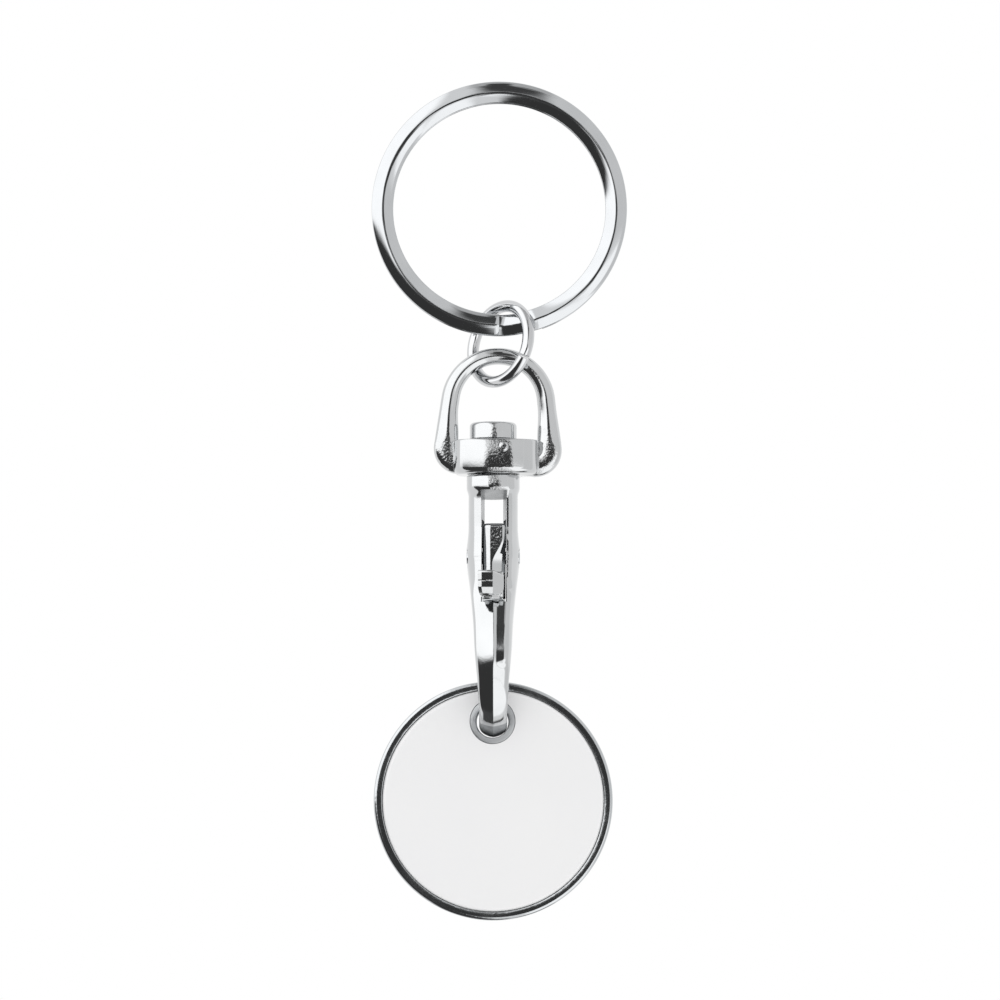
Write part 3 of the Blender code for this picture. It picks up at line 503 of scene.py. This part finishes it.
head = edge_arc(head_radius, head_high, head_edge, math.pi / 2, 0, 6)
stud = [(head_radius, head_low), (stud_radius, head_low), (stud_radius, collar_top)]
collar = edge_arc(collar_radius, collar_top, collar_edge, math.pi / 2, 0, 3)
collar += [(collar_radius, collar_top - collar_height + collar_foot)]
for radius, height in [*head, *stud, *collar]:
    on_stud = height > collar_top or radius == stud_radius
    add_round(0, height, radius, round_bar if on_stud else collar_bar, down)
for k in range(9):
    fall = ease(k / 8)
    radius = collar_radius + (barrel_radius - collar_radius) * fall
    height = collar_top - collar_height - collar_fillet * k / 8
    add_round(0, height, radius, collar_bar + (squared_bar - collar_bar) * fall, down)
barrel_foot = collar_top - barrel_height
for k in range(1, 9):
    height = collar_top - collar_height - collar_fillet
    height += (barrel_foot - height) * k / 8
    add_round(0, height, barrel_radius, squared_bar, down)
for k in range(1, 16):
    share = k / 16
    fall = ease(share)
    wide = barrel_radius + (shoulder_wide - barrel_radius) * fall
    deep = barrel_radius + (shoulder_deep - barrel_radius) * fall
    stations.append((-shoulder_back * fall, barrel_foot + (pivot.z - barrel_foot) * share,
                     wide, deep, deep, squared_bar, 0, 0, down))

# Down the spine, the front is brought out to the worn oval, and facets and land begin and end
# at these shares of the way from the pivot to the bend
spine_steps = 64
least_front, least_gain, front_blend = 2.9, 0.022, 0.15 * MM
facets_from, land_begins, oval_from, land_ends = 0.2, 0.30, 0.4, 0.86
for k in range(spine_steps):
    (y, z), (y2, z2) = spine_at(k / spine_steps), spine_at((k + 1) / spine_steps)
    y1, z1 = spine_at((k - 1) / spine_steps) if k else (y, z + MM)
    way = Vector((y2 - y1, z2 - z1)).normalized()
    fallen, fallen_mm = (pivot.z - z) / (pivot.z - bend_z), (pivot.z - z) / MM
    wide_share, deep_share = (along_table(table, fallen)
                              for table in (spine_width_shares, spine_depth_shares))
    wide = hook_half_width + (shoulder_wide - hook_half_width) * wide_share
    deep = hook_wire + (shoulder_deep - hook_wire) * deep_share
    above = z - bend_z
    drop = (brow_tall - brow_deep - above) / brow_tall
    outside = y + brow_deep * math.sqrt(max(1 - drop * drop, 0))
    reach, least = -(y + deep * way.y), (least_front + least_gain * fallen_mm ** 2) * MM
    more = (reach + least + math.hypot(reach - least, front_blend)) / 2 - reach
    deep_front = deep + more * ease(fallen / 0.04)
    front = deep_front + (outside - deep_front) * ease((fallen - oval_from) / 0.38)
    roof = ease((fallen - facets_from) / 0.15)
    land = ease((fallen - land_begins) / 0.06) * (1 - ease((fallen - land_ends) / 0.05))
    stations.append((y, z, wide, front, deep, squared_bar, roof, land, tuple(way)))

# Round the bend the facets run out in two steps and the bar turns round, by its turn in radians
bend_steps = 48
crest_ends, facets_end, nose_begins, cheeks_end = 1.2, 1.8, 1.8, 0.25
for k in range(bend_steps + 1):
    angle = math.pi * k / bend_steps
    slim = 0.12 * max(0, 1 - k / bend_steps / cheeks_end)
    tip_share = ease((angle - nose_begins) / 1.2)
    wide = (hook_half_width + (hook_wire - hook_half_width) * tip_share
            + (shoulder_wide - hook_wire) * slim)
    roof = 1 - 0.6 * ease((angle - crest_ends) / 0.35) - 0.4 * ease((angle - facets_end) / 0.5)
    front = brow(angle) - bend_radius if angle < math.pi / 2 else hook_wire
    power = squared_bar - 0.2 * ease((angle - 0.5) / 0.4) * ease((2.8 - angle) / 0.4)
    stations.append((-bend_radius * math.cos(angle), bend_z - bend_radius * math.sin(angle), wide,
                     front, hook_wire, power, roof, 0, (math.sin(angle), -math.cos(angle))))
straight = bend_z + 0.4 * nose_rise
tip_low = bend_z + nose_rise - nose_tip
for k in range(1, 5):
    add_round(bend_radius, bend_z + (straight - bend_z) * k / 4, hook_wire, squared_bar, up)
for k in range(1, 6):
    share = k / 6
    radius = hook_wire + (nose_tip - hook_wire) * ease(share)
    add_round(nose_inner + radius, straight + (tip_low - straight) * share, radius, squared_bar, up)
for radius, height in bow((0, tip_low), nose_tip, 0, math.pi / 2, 8)[:-1]:
    add_round(nose_inner + nose_tip, height, radius, round_bar, up)

# At the pivot the cheeks are widest behind the middle, so the rivet's seats show from the front
cheek_back, cheek_tall = 0.5 * MM, 1.6 * MM
rings = []
for y, z, wide, front, back, power, roof, land, way in stations:
    inward = Vector((0, -way[1], way[0]))
    shift = cheek_back * math.exp(-((z - pivot.z) / cheek_tall) ** 2)
    rings.append([Vector((hook_x, y, z)) + Vector((u, 0, 0)) + (v + shift) * inward
                  for u, v in section(wide, front + shift, back - shift, power, roof, land)])
hook_casting = blank("hook_casting", skin(rings), bright_nickel)
hook_casting.data.materials.append(bare_casting_and_shade)

# Where the coin swings under the bend, it keeps the plate rubbed to a satin grey, whose darker tone
# also paints the shade on the bend's underside in the coin's hole. Real rub marks are too fine to
# show, so they are drawn 0.2 mm apart
rubbed_nickel_and_shade = plate("nickel plate rubbed by the coin", "#B6B8BA", "#A8ABAD", 0.4, 0.5,
                      grain=0.2 * MM, depth=0.003 * MM)
hook_casting.data.materials.append(rubbed_nickel_and_shade)
rubbed_and_shaded_from, rubbed_and_shaded_to = 1.04, 2.3
for face in hook_casting.data.polygons:
    round_bend = math.atan2(bend_z - face.center.z, -face.center.y)
    # The stud's neck, in the gap under its head, gets the darker casting as painted shade
    if collar_top < face.center.z < head_low:
        face.material_index = 1
    # The bottom of the bend gets the rubbed plate, whose darker grey is partly painted shade
    elif rubbed_and_shaded_from < round_bend < rubbed_and_shaded_to:
        face.material_index = 2

# The slot is a window above the lever, a mouth and a bay for it, and a way out behind it
slot_x = hook_x + 0.07 * MM
lip, inner, window_back = 1.29 * MM, 1.17 * MM, 0.87 * MM
window_top = collar_top - 1.4 * MM
ceiling = window_top - 0.8 * MM
window_foot = ceiling - 2.9 * MM
slot_foot = pivot.z - 4.45 * MM
tail_front, tail_height = 1.85 * MM, 3.3 * MM
back_wall, wall_foot = 1.9 * MM, pivot.z + 1.1 * MM
bay_top = pivot.z + tail_height + 0.4 * MM
past = 0.4 * MM


def block(front_y, back_y, front, back):
    """A block between two upright rectangles (half width, low, high), centred on the slot."""
    rings = []
    for y, (half_width, low, high) in ((front_y, front), (back_y, back)):
        left, right = slot_x - half_width, slot_x + half_width
        rings.append([(left, y, low), (right, y, low), (right, y, high), (left, y, high)])
    return skin([[Vector(point) for point in ring] for ring in rings])


window = (lip, window_foot, window_top), (window_back, window_foot, ceiling)
mouth = (lip, slot_foot, bay_top), (inner, slot_foot, bay_top)
bay = (inner, slot_foot, bay_top), (inner, slot_foot, bay_top)
way_out = (inner, slot_foot, wall_foot), (inner, slot_foot, wall_foot)
# Down the slot's right cheek the edge has been tumbled to a narrow, pitted flat
bpy.context.view_layer.update()
worn_x, worn_foot, worn_deep = slot_x + lip + 0.09 * MM, pivot.z - 2.6 * MM, 0.05 * MM
worn_right, worn_steps, far_off = slot_x + 1.6 * MM, 24, 10 * MM
rings = []
for k in range(worn_steps + 1):
    height = window_top + 0.2 * MM + (worn_foot - window_top) * k / worn_steps
    cheek = hook_casting.ray_cast(Vector((worn_x, -far_off, height)), Vector((0, 1, 0)))[1]
    flat = cheek.y + worn_deep * ease(k / 3) * ease((worn_steps - k) / 6)
    rings.append([Vector(point) for point in (
        (slot_x, flat, height), (worn_right, flat, height),
        (worn_right, cheek.y - MM, height), (slot_x, cheek.y - MM, height))])
carve(hook_casting, skin(rings))
# The slot's walls are laid bare in the dull, darker casting, whose dark tone also paints the shade
# inside the slot
for front_y, back_y, shape in ((-collar_radius - past, barrel_radius + past, window),
                               (-bend_radius - past, -tail_front, mouth),
                               (-tail_front - past, back_wall, bay),
                               (back_wall - past, shoulder_deep + past, way_out)):
    carve(hook_casting, block(front_y, back_y, *shape), material=bare_casting_and_shade)

gate_outer, gate_inner, gate_length = 2.565 * MM, 1.265 * MM, 8.85 * MM
opening, swing_gap, swing_top = math.radians(20), 0.15 * MM, 4.05 * MM


def drawn(outline, width, middle):
    """An outline of (y, z) points drawn out across the keyring."""
    return skin([[Vector((middle + side * width / 2, y, z)) for y, z in outline]
                 for side in (-1, 1)])


# The spine is cut back where the opened gate swings in towards it
floor = []
for drop in (swing_top, gate_length):
    open_y = (gate_inner - swing_gap - drop * math.sin(opening)) / math.cos(opening)
    floor.append((open_y, pivot.z - drop))
carve(hook_casting, drawn([floor[0], floor[1], (gate_inner, floor[1][1]),
                           (gate_inner, floor[0][1])], 2 * inner, slot_x))

# The pivot pin's bore runs through both cheeks, with a flat seat for each end of the rivet
pin_radius, pin_clear, past_cheek = 0.63 * MM, 0.04 * MM, 3.05 * MM
carve(hook_casting, rod(pin_radius + pin_clear, -past_cheek, past_cheek, pivot, 48, "X"))
seat_radius, seat_x = 1.0 * MM, 2.36 * MM
for side in (-1, 1):
    carve(hook_casting, rod(seat_radius, side * seat_x, side * past_cheek, pivot, 48, "X"))

# The grain is left down the collar's front, on the worn flat and in the lee of the knob
collar_grit_x, collar_grit_foot = -0.45 * MM, -38.9 * MM
flat_grit_wide, flat_grit_back = 0.12 * MM, -1.5 * MM
lee = Vector((-1.0 * MM, -2 * MM, pivot.z - 5.1 * MM))


def hook_grit(p):
    on_collar = (ease((p.z - collar_grit_foot) / (0.9 * MM))
                 * math.exp(-((p.x - collar_grit_x) / (0.8 * MM)) ** 2))
    on_flat = (abs(p.x - worn_x) < flat_grit_wide and worn_foot < p.z < window_top
               and p.y < flat_grit_back)
    in_lee = (p.y < lee.y) * math.exp(-((p.x - lee.x) / (0.5 * MM)) ** 2
                                      - ((p.z - lee.z) / (0.5 * MM)) ** 2)
    return 0.1 + 0.9 * on_collar + 0.6 * on_flat + 0.7 * in_lee


give_grit(hook_casting, hook_grit)
hang_on(hook_casting, "hook", "bright_nickel", "hook_body")

# ---- Trigger ----------------------------------------------------------------------------------
# The lever that closes the hook: a tail in the slot, a thumb knob and the gate that meets the
# nose. One zinc die casting, nickel-plated; below the knob's flat pad are a ledge, a groove and
# a rib, which give the thumb a grip.

hub, fillet, round_end = 1.5 * MM, 0.3 * MM, 0.4 * MM
tail_back = 1.55 * MM - tail_front
lever_width, lever_x = 1.85 * MM, hook_x + 0.2 * MM
knob_top, knob_reach = 1.47 * MM, 5.3 * MM


def filleted(corners, count):
    """An outline of points from (u, v, radius) corners, each rounded by its radius."""
    outline = []
    for k, (u, v, radius) in enumerate(corners):
        corner = Vector((u, v))
        back = (Vector(corners[k - 1][:2]) - corner).normalized()
        ahead = (Vector(corners[(k + 1) % len(corners)][:2]) - corner).normalized()
        half_angle = back.angle(ahead) / 2
        middle = corner + (back + ahead).normalized() * radius / math.sin(half_angle)
        first = corner + back * radius / math.tan(half_angle) - middle
        last = corner + ahead * radius / math.tan(half_angle) - middle
        start = math.atan2(first.y, first.x)
        turn = math.remainder(math.atan2(last.y, last.x) - start, 2 * math.pi)
        outline += bow(middle, radius, start, start + turn, count)
    return outline


def rounded_bar(outline, width, middle, edge):
    """An outline of (y, z) points drawn out across the keyring, its two sides rounded over."""
    inward = []
    for k in range(len(outline)):
        along = Vector(outline[(k + 1) % len(outline)]) - Vector(outline[k - 1])
        inward.append(Vector((along.y, -along.x)).normalized())
    rings = []
    for side, turns in ((-1, range(5)), (1, range(4, -1, -1))):
        for k in turns:
            turn = math.pi / 2 * k / 4
            inset = edge * (1 - math.sin(turn))
            x = middle + side * (width / 2 - edge * (1 - math.cos(turn)))
            rings.append([Vector((x, y + inset * way.x, pivot.z + z + inset * way.y))
                          for (y, z), way in zip(outline, inward)])
    return skin(rings)


# Behind its front bar the lever is as wide as the slot lets it be
hub_width, hub_edge = 2.26 * MM, 0.12 * MM
hub_face, hub_top, gate_root, hub_foot = -0.9 * MM, 1.2 * MM, -3.0 * MM, -4.1 * MM
hub_and_gate = filleted((
    (hub_face, hub_top, fillet), (hub, hub, hub - 0.01 * MM), (hub, -hub, fillet),
    (gate_outer, gate_root, fillet), (gate_outer, -gate_length, round_end),
    (gate_inner, -gate_length, round_end), (gate_inner, hub_foot, fillet),
    (hub_face, hub_foot, fillet)), 8)
trigger_lever = blank("trigger_lever", rounded_bar(hub_and_gate, hub_width, slot_x, hub_edge),
                      bright_nickel)
arm_front, arm_back, arm_top, arm_foot = -4.5 * MM, 0.8 * MM, -1.58 * MM, -4.12 * MM
arm = filleted(((arm_front, arm_top, fillet), (arm_back, arm_top, fillet),
                (arm_back, arm_foot, fillet), (arm_front, arm_foot, fillet)), 6)
arm_width, arm_edge, arm_x = 1.7 * MM, 0.15 * MM, lever_x - 0.075 * MM
carve(trigger_lever, rounded_bar(arm, arm_width, arm_x, arm_edge), "UNION")

# The bar up the front of the slot: chamfered at its left, and bevelled more and more at its right
bar_left, bar_right = lever_x - lever_width / 2, lever_x + lever_width / 2 + 0.03 * MM
bar_round, bar_foot = 0.36 * MM, -1.62 * MM
bar_steps, bar_flange = 48, 0.28 * MM
# Its chamfer, in mm from its left side and from its front
bar_chamfer = ((-0.28, 0.42), (-0.23, 0.28), (-0.18, 0.15), (-0.14, 0.13), (0.02, 0.078),
               (0.06, 0.066), (0.38, 0.01), (0.42, 0.0), (0.46, 0.0))


def bar_slant(height):
    """How wide the bevel down the bar's right side is, at this height above the pivot."""
    return (0.27 + 1.0 * ease((1.9 * MM - height) / (2.6 * MM))) * MM


rings = []
for k in range(bar_steps + 1):
    height = tail_height + (bar_foot - tail_height) * (k / bar_steps) ** 1.5
    over_top = max(height - tail_height + bar_round, 0)
    sink = bar_round - math.sqrt(bar_round ** 2 - over_top ** 2)
    slant = bar_slant(height)
    left, right = bar_left + sink, bar_right - sink
    front, back = sink - tail_front, tail_back - sink
    ring = [(left + x * MM, front + y * MM) for x, y in bar_chamfer]
    ring += [(right - slant - 0.02 * MM, front), (right - slant, front),
             (right - slant + 0.03 * MM, front + 0.005 * MM),
             (right - 0.03 * MM, front + 0.24 * slant), (right, front + 0.28 * slant),
             (right, back), (left - bar_flange, back)]
    rings.append([Vector((x, y, pivot.z + height)) for x, y in ring])
carve(trigger_lever, skin(rings), "UNION")

# The knob in plan, wider at its root than across its pad
knob_left, knob_right = -2.07 * MM, 0.43 * MM
pad_left, pad_right = -1.74 * MM, -0.62 * MM
knob_root = -knob_reach + 1.45 * MM
plan = ((knob_left, knob_root), (knob_left, -knob_reach + 0.24 * MM), (pad_left, -knob_reach),
        (pad_right, -knob_reach), (knob_right, -knob_reach + 0.85 * MM), (knob_right, knob_root))
# Down its front, in mm, how far it has fallen and how far it has sunk: a flat pad with a
# scribed line, a ledge for the thumb, a groove, a rib and a rounded foot
knob_front = ((0.0, 0.26), (0.05, 0.13), (0.11, 0.05), (0.18, 0.008), (0.22, 0.0), (0.26, 0.0),
              (0.3, 0.0), (0.95, 0.0), (1.0, 0.0), (1.02, 0.014), (1.06, 0.014), (1.08, 0.0),
              (1.13, 0.0), (1.57, 0.0), (1.62, 0.0), (1.66, 0.0), (1.70, 0.008), (1.74, 0.014),
              (2.24, 0.094), (2.28, 0.1), (2.33, 0.15), (2.4, 0.24), (2.46, 0.27), (2.54, 0.25),
              (2.6, 0.243), (2.64, 0.247), (2.7, 0.27), (2.74, 0.3), (2.8, 0.4), (2.86, 0.58),
              (2.9, 0.85), (2.92, 1.2))
knob_middle = (knob_left + knob_right) / 2
knob_droop, side_share, root_cover = 0.43 * MM, 0.85, 0.03 * MM
rings = []
for fall, sink in knob_front:
    taper = 1 - 0.4 * ease((fall - 1.9) / 1.1)
    ring = []
    for x, y in plan:
        share = 1 if y < -knob_reach + 0.1 * MM or fall < 0.5 else side_share
        front = min(y + share * sink * MM, knob_root - root_cover)
        droop = knob_droop * max(x - pad_right, 0) / (knob_right - pad_right) * (1 - ease(fall))
        ring.append(Vector((knob_middle + (x - knob_middle) * taper,
                            knob_root if y == knob_root else front,
                            pivot.z - knob_top - fall * MM - droop)))
    rings.append(ring)
carve(trigger_lever, skin(rings), "UNION")
lever_bore, lever_half = pin_radius + 0.06 * MM, 1.4 * MM
carve(trigger_lever, rod(lever_bore, -lever_half, lever_half, Vector((lever_x, 0, pivot.z)), 48,
                         "X"))


# The grain is left on the bar above the pivot, between its chamfer and its bevel
def trigger_grit(p):
    height = p.z - pivot.z
    inside = min(p.x - bar_left - 0.42 * MM, bar_right - bar_slant(height) + 0.005 * MM - p.x)
    return 0.12 + 0.8 * ease(height / (0.8 * MM)) * ease(inside / (0.02 * MM))


give_grit(trigger_lever, trigger_grit)
hang_on(trigger_lever, "trigger", "bright_nickel", "trigger")
# Faces that look straight forward are shaded flat, so that bar and pad each show one tone
straight_on = -0.9995
for face in trigger_lever.data.polygons:
    face.use_smooth = face.normal.y > straight_on

# ---- Pivot pin and spring ---------------------------------------------------------------------
# A steel rivet through both cheeks carries the trigger, and a small coil of music wire behind
# the trigger's tail holds the gate shut. Both are nickel-plated; the rivet is closed cold.

pin_edge, pin_short = 0.12 * MM, 0.04 * MM
pin_end = edge_arc(pin_radius, shoulder_wide - pin_short, pin_edge, 0, math.pi / 2, 5)
profile = [*reversed(pin_end)] + [(radius, -height) for radius, height in pin_end]
rivet = blank("rivet", turned(profile, pivot, 48, "X"), nickelled_spring_steel)
hang_on(rivet, "hook", "spring_steel", "pivot_pin")

coil_wire, coil_radius, coil_turns, turn_steps = 0.1 * MM, 0.58 * MM, 3, 32
coil_start, coil_end = tail_back + 0.16 * MM, back_wall - 0.16 * MM
coil_middle = pivot + Vector((0.07 * MM, 0, 2.1 * MM))
last = coil_turns * turn_steps
points = []
for k in range(last + 1):
    turn = 2 * math.pi * k / turn_steps
    points.append(coil_middle + Vector((coil_radius * math.cos(turn),
                                        coil_start + (coil_end - coil_start) * k / last,
                                        coil_radius * math.sin(turn))))
rings = []
for k, point in enumerate(points):
    along = (points[min(k + 1, last)] - points[max(k - 1, 0)]).normalized()
    across = along.cross(Vector((point.x - coil_middle.x, 0, point.z - coil_middle.z))).normalized()
    outward = across.cross(along)
    rings.append([point + u * outward + v * across for u, v in oval(14, coil_wire, coil_wire)])
return_coil = blank("return_coil", skin(rings), nickelled_spring_steel)
hang_on(return_coil, "hook", "spring_steel", "trigger_spring")
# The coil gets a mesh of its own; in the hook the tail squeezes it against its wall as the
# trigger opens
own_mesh(return_coil)

# ---- Coin token -------------------------------------------------------------------------------
# The token that stands in for a coin in a trolley's lock. A pressed iron blank with a raised
# rim, a recess in each face and an eyeleted hole, nickel-plated in a barrel.

# Barrel plating knocks the rim about, so its reflections break up along the edge
barrel_nickel = plate("barrel-plated nickel on iron", "#CBCDCF", "#BFC2C4", 0.07, 0.14,
                      grain=0.35 * MM, depth=0.006 * MM)

coin_radius, coin_half, rim_wide, recess = 11.63 * MM, 1.165 * MM, 0.8 * MM, 0.4 * MM
coin_middle = Vector((hook_x, 0, -68.382 * MM))
coin_hole = Vector((-0.654 * MM, 0, -60.652 * MM))
hole_radius, eyelet_radius, eyelet_edge = 1.6 * MM, 2.2 * MM, 0.1 * MM
recess_radius = coin_radius - rim_wide
edge, inner_edge = 0.3 * MM, 0.06 * MM
half = [(recess_radius, coin_half - recess)]
half += bow((recess_radius + inner_edge, coin_half - inner_edge), inner_edge,
            math.pi, math.pi / 2, 4)
half += edge_arc(coin_radius, coin_half, edge, math.pi / 2, 0, 10)
profile = half + [(radius, -height) for radius, height in reversed(half)]
coin_blank = blank("coin_blank", turned(profile, coin_middle, 256, "Y"), barrel_nickel)

# The eyelet is set with a punch, which leaves its face and its flared mouth satin. Real punch
# marks are too fine to show, so they are drawn 0.2 mm apart
satin_nickel = plate("satin nickel where the punch has rubbed", "#D4D6D8", "#C9CCCE", 0.34, 0.42,
                     grain=0.2 * MM, depth=0.003 * MM)
eyelet = edge_arc(eyelet_radius, coin_half, eyelet_edge, math.pi / 2, 0, 4)
eyelet += [(radius, -height) for radius, height in reversed(eyelet)]
carve(coin_blank, turned(eyelet, coin_hole, 96, "Y"), "UNION", satin_nickel)
mouth_round, back_radius, back_flare, beyond = 0.14 * MM, 1.54 * MM, 0.12 * MM, 0.1 * MM
flare_out = [(hole_radius + mouth_round, -coin_half - beyond)]
flare_out += bow((hole_radius + mouth_round, mouth_round - coin_half), mouth_round,
                 -math.pi / 2, -math.pi, 8)
flare_out += [(back_radius, coin_half - back_flare), (back_radius + back_flare, coin_half + beyond)]
carve(coin_blank, turned(flare_out, coin_hole, 96, "Y"), material=satin_nickel)
hang_on(coin_blank, "token", "coin_plate", "coin")

# ---- Inlays -----------------------------------------------------------------------------------
# The blank white print on each face of the coin. A white vinyl disc under a clear poured resin
# dome, which its own surface tension rounds off at the edge.

inlay_radius, inlay_low = recess_radius - 0.05 * MM, coin_half - recess + 0.05 * MM
inlay_top, dome_edge = coin_half + 0.04 * MM, 0.34 * MM
inlay_hole, past_inlay = eyelet_radius + 0.03 * MM, 1.6 * MM

# The resin is clear and glossy over a matt white print that is a touch cool
resin_over_white = bpy.data.materials.new("clear resin over white vinyl")
resin_over_white.use_nodes = True
tree = resin_over_white.node_tree
shader = tree.nodes["Principled BSDF"]
print_cloud = 7 * MM
tone = cloudy(tree, print_cloud, "#F4F4F4", "#F1F1F2")[2]
tree.links.new(tone, shader.inputs["Base Color"])
for socket, value in (("Roughness", 0.5), ("Specular IOR Level", 0.2), ("Coat Weight", 0.6),
                      ("Coat Roughness", 0.06)):
    shader.inputs[socket].default_value = value

for name, node, side in (("front_inlay", "coin_inlay_front", -1),
                         ("back_inlay", "coin_inlay_back", 1)):
    profile = [(inlay_radius, inlay_low)]
    profile += edge_arc(inlay_radius, inlay_top, dome_edge, 0, math.pi / 2, 8)
    profile += [(inlay_radius * share, inlay_top) for share in (0.93, 0.6, 0.3)]
    inlay = blank(name, turned([(r, side * h) for r, h in profile], coin_middle, 192, "Y"),
                  resin_over_white)
    carve(inlay, rod(inlay_hole, -past_inlay, past_inlay, coin_hole, 96, "Y"))
    hang_on(inlay, "token", "white_print", node)

# ---- Studio -----------------------------------------------------------------------------------
# A white surround with soft cards about the lens, as chrome is photographed: a bright box at
# the left, white cards low at the right and under the lens, grey ones at the right and above,
# and black flags at the lens, below left, at its right, above and well below it.

scene = bpy.context.scene
studio_middle = Vector((0, 0, -0.045))
studio_radius, card_step, card_parts = 2.0, 0.01, 24

# Each card's glow and then, in degrees: from where to where it is turned about the lens's line,
# from where to where it is tilted off it, and how wide its edges fade. Each hangs a little in
# front of the last
cards = (
    ("lens_flag", 0.05, 0, 360, 0, 11, 4),
    ("left_box", 1.62, 110, 180, 7, 100, 4),
    ("low_left_flag", 0.05, 177, 271, 5, 82, 4),
    ("low_right_card", 1.5, 284, 326, 8, 80, 4),
    ("low_near_card", 1.5, 318, 357, 14, 46, 4),
    ("right_card", 0.85, -34, 76, 46, 100, 4),
    ("right_near_card", 0.85, -2, 76, 12, 50, 4),
    ("lip_card", 1.4, 258, 288, 8, 20, 3),
    ("top_card", 0.6, 66, 104, 44, 98, 4),
    ("top_flag", 0.07, 68, 102, 5, 50, 5),
    ("land_flag", 0.07, 84, 96, 1, 64, 2),
    ("under_flag", 0.08, 236, 282, 66, 118, 8),
    ("under_right_flag", 0.08, 278, 304, 86, 118, 6),
    ("right_flag", 0.05, -30, 76, 4, 18, 4),
)
for order, (name, glow, turn_from, turn_to, tilt_from, tilt_to, fade) in enumerate(cards, 1):
    card_distance = studio_radius - card_step * order
    bm = bmesh.new()
    cover = bm.verts.layers.float.new("cover")
    grid = []
    for i in range(card_parts + 1):
        row = []
        for j in range(card_parts + 1):
            turn = turn_from + (turn_to - turn_from) * i / card_parts
            tilt_off = tilt_from + (tilt_to - tilt_from) * j / card_parts
            t, s = math.radians(turn), math.radians(tilt_off)
            way = Vector((math.sin(s) * math.cos(t), -math.cos(s), math.sin(s) * math.sin(t)))
            vert = bm.verts.new(studio_middle + card_distance * way)
            inside = tilt_to - tilt_off
            if tilt_from > 0:
                inside = min(inside, tilt_off - tilt_from)
            if turn_to - turn_from < 360:
                inside = min(inside, (turn - turn_from) * math.sin(s),
                             (turn_to - turn) * math.sin(s))
            vert[cover] = ease(inside / fade)
            row.append(vert)
        grid.append(row)
    for i in range(card_parts):
        for j in range(card_parts):
            bm.faces.new((grid[i][j], grid[i + 1][j], grid[i + 1][j + 1], grid[i][j + 1]))
    bmesh.ops.remove_doubles(bm, verts=bm.verts, dist=1e-6)
    mesh = bpy.data.meshes.new(name)
    bm.to_mesh(mesh)
    bm.free()
    card = bpy.data.objects.new(name, mesh)
    scene.collection.objects.link(card)
    # White or black card that glows evenly and shows only in reflections, painting the light and
    # dark that the metal mirrors; it thins out to nothing towards its edges
    glowing_card = bpy.data.materials.new(name)
    glowing_card.use_nodes = True
    tree = glowing_card.node_tree
    tree.nodes.clear()
    covered = add_node(tree, "ShaderNodeAttribute", attribute_name="cover")
    clear = add_node(tree, "ShaderNodeBsdfTransparent")
    light = add_node(tree, "ShaderNodeEmission", {"Strength": glow})
    blend = add_node(tree, "ShaderNodeMixShader", {0: covered.outputs["Fac"], 1: clear.outputs[0],
                                                   2: light.outputs[0]})
    add_node(tree, "ShaderNodeOutputMaterial", {"Surface": blend.outputs[0]})
    mesh.materials.append(glowing_card)
    card.visible_camera = card.visible_diffuse = card.visible_shadow = False
    card.visible_transmission = False

world = bpy.data.worlds.new("white studio")
world.use_nodes = True
scene.world = world
tree = world.node_tree
tree.nodes.clear()
white = add_node(tree, "ShaderNodeBackground", {"Color": (1, 1, 1, 1), "Strength": 1})
add_node(tree, "ShaderNodeOutputWorld", {"Surface": white.outputs[0]})

# The pale floor, well below the hanging keyring
floor_radius, floor_z, paint_cloud = 0.45, -0.15, 0.125
bm = bmesh.new()
bmesh.ops.create_circle(bm, cap_ends=True, segments=96, radius=floor_radius,
                        matrix=Matrix.Translation((0, 0, floor_z)))
# Matt emulsion, rolled on, whose white drifts a little from patch to patch
pale = bpy.data.materials.new("pale painted floor")
pale.use_nodes = True
tree = pale.node_tree
shader = tree.nodes["Principled BSDF"]
tone = cloudy(tree, paint_cloud, "#FBFBFB", "#F7F7F7")[2]
tree.links.new(tone, shader.inputs["Base Color"])
shader.inputs["Roughness"].default_value = 0.8
floor_disc = blank("floor_disc", bm, pale)
floor_disc.visible_glossy = False

# ---- Camera -----------------------------------------------------------------------------------
# A long lens in front of the keyring and a little below its middle, which looks up by four
# degrees. It stands still, and everything in its view is sharp.

camera_data = bpy.data.cameras.new("camera")
camera = bpy.data.objects.new("camera", camera_data)
scene.collection.objects.link(camera)
scene.camera = camera
frame_width, sensor_width = 97.7 * MM, 36
camera_distance = 0.7
rise = math.radians(-4)
target = Vector((0.07 * MM, 0, -38.99 * MM))
back = Vector((0, -math.cos(rise), math.sin(rise)))
camera.location = target + camera_distance * back
camera.rotation_euler = (-back).to_track_quat("-Z", "Y").to_euler()
camera_data.sensor_width = sensor_width
camera_data.lens = sensor_width * camera_distance / frame_width
camera_data.clip_start, camera_data.clip_end = 0.01, 10

scene.view_settings.view_transform = "Standard"
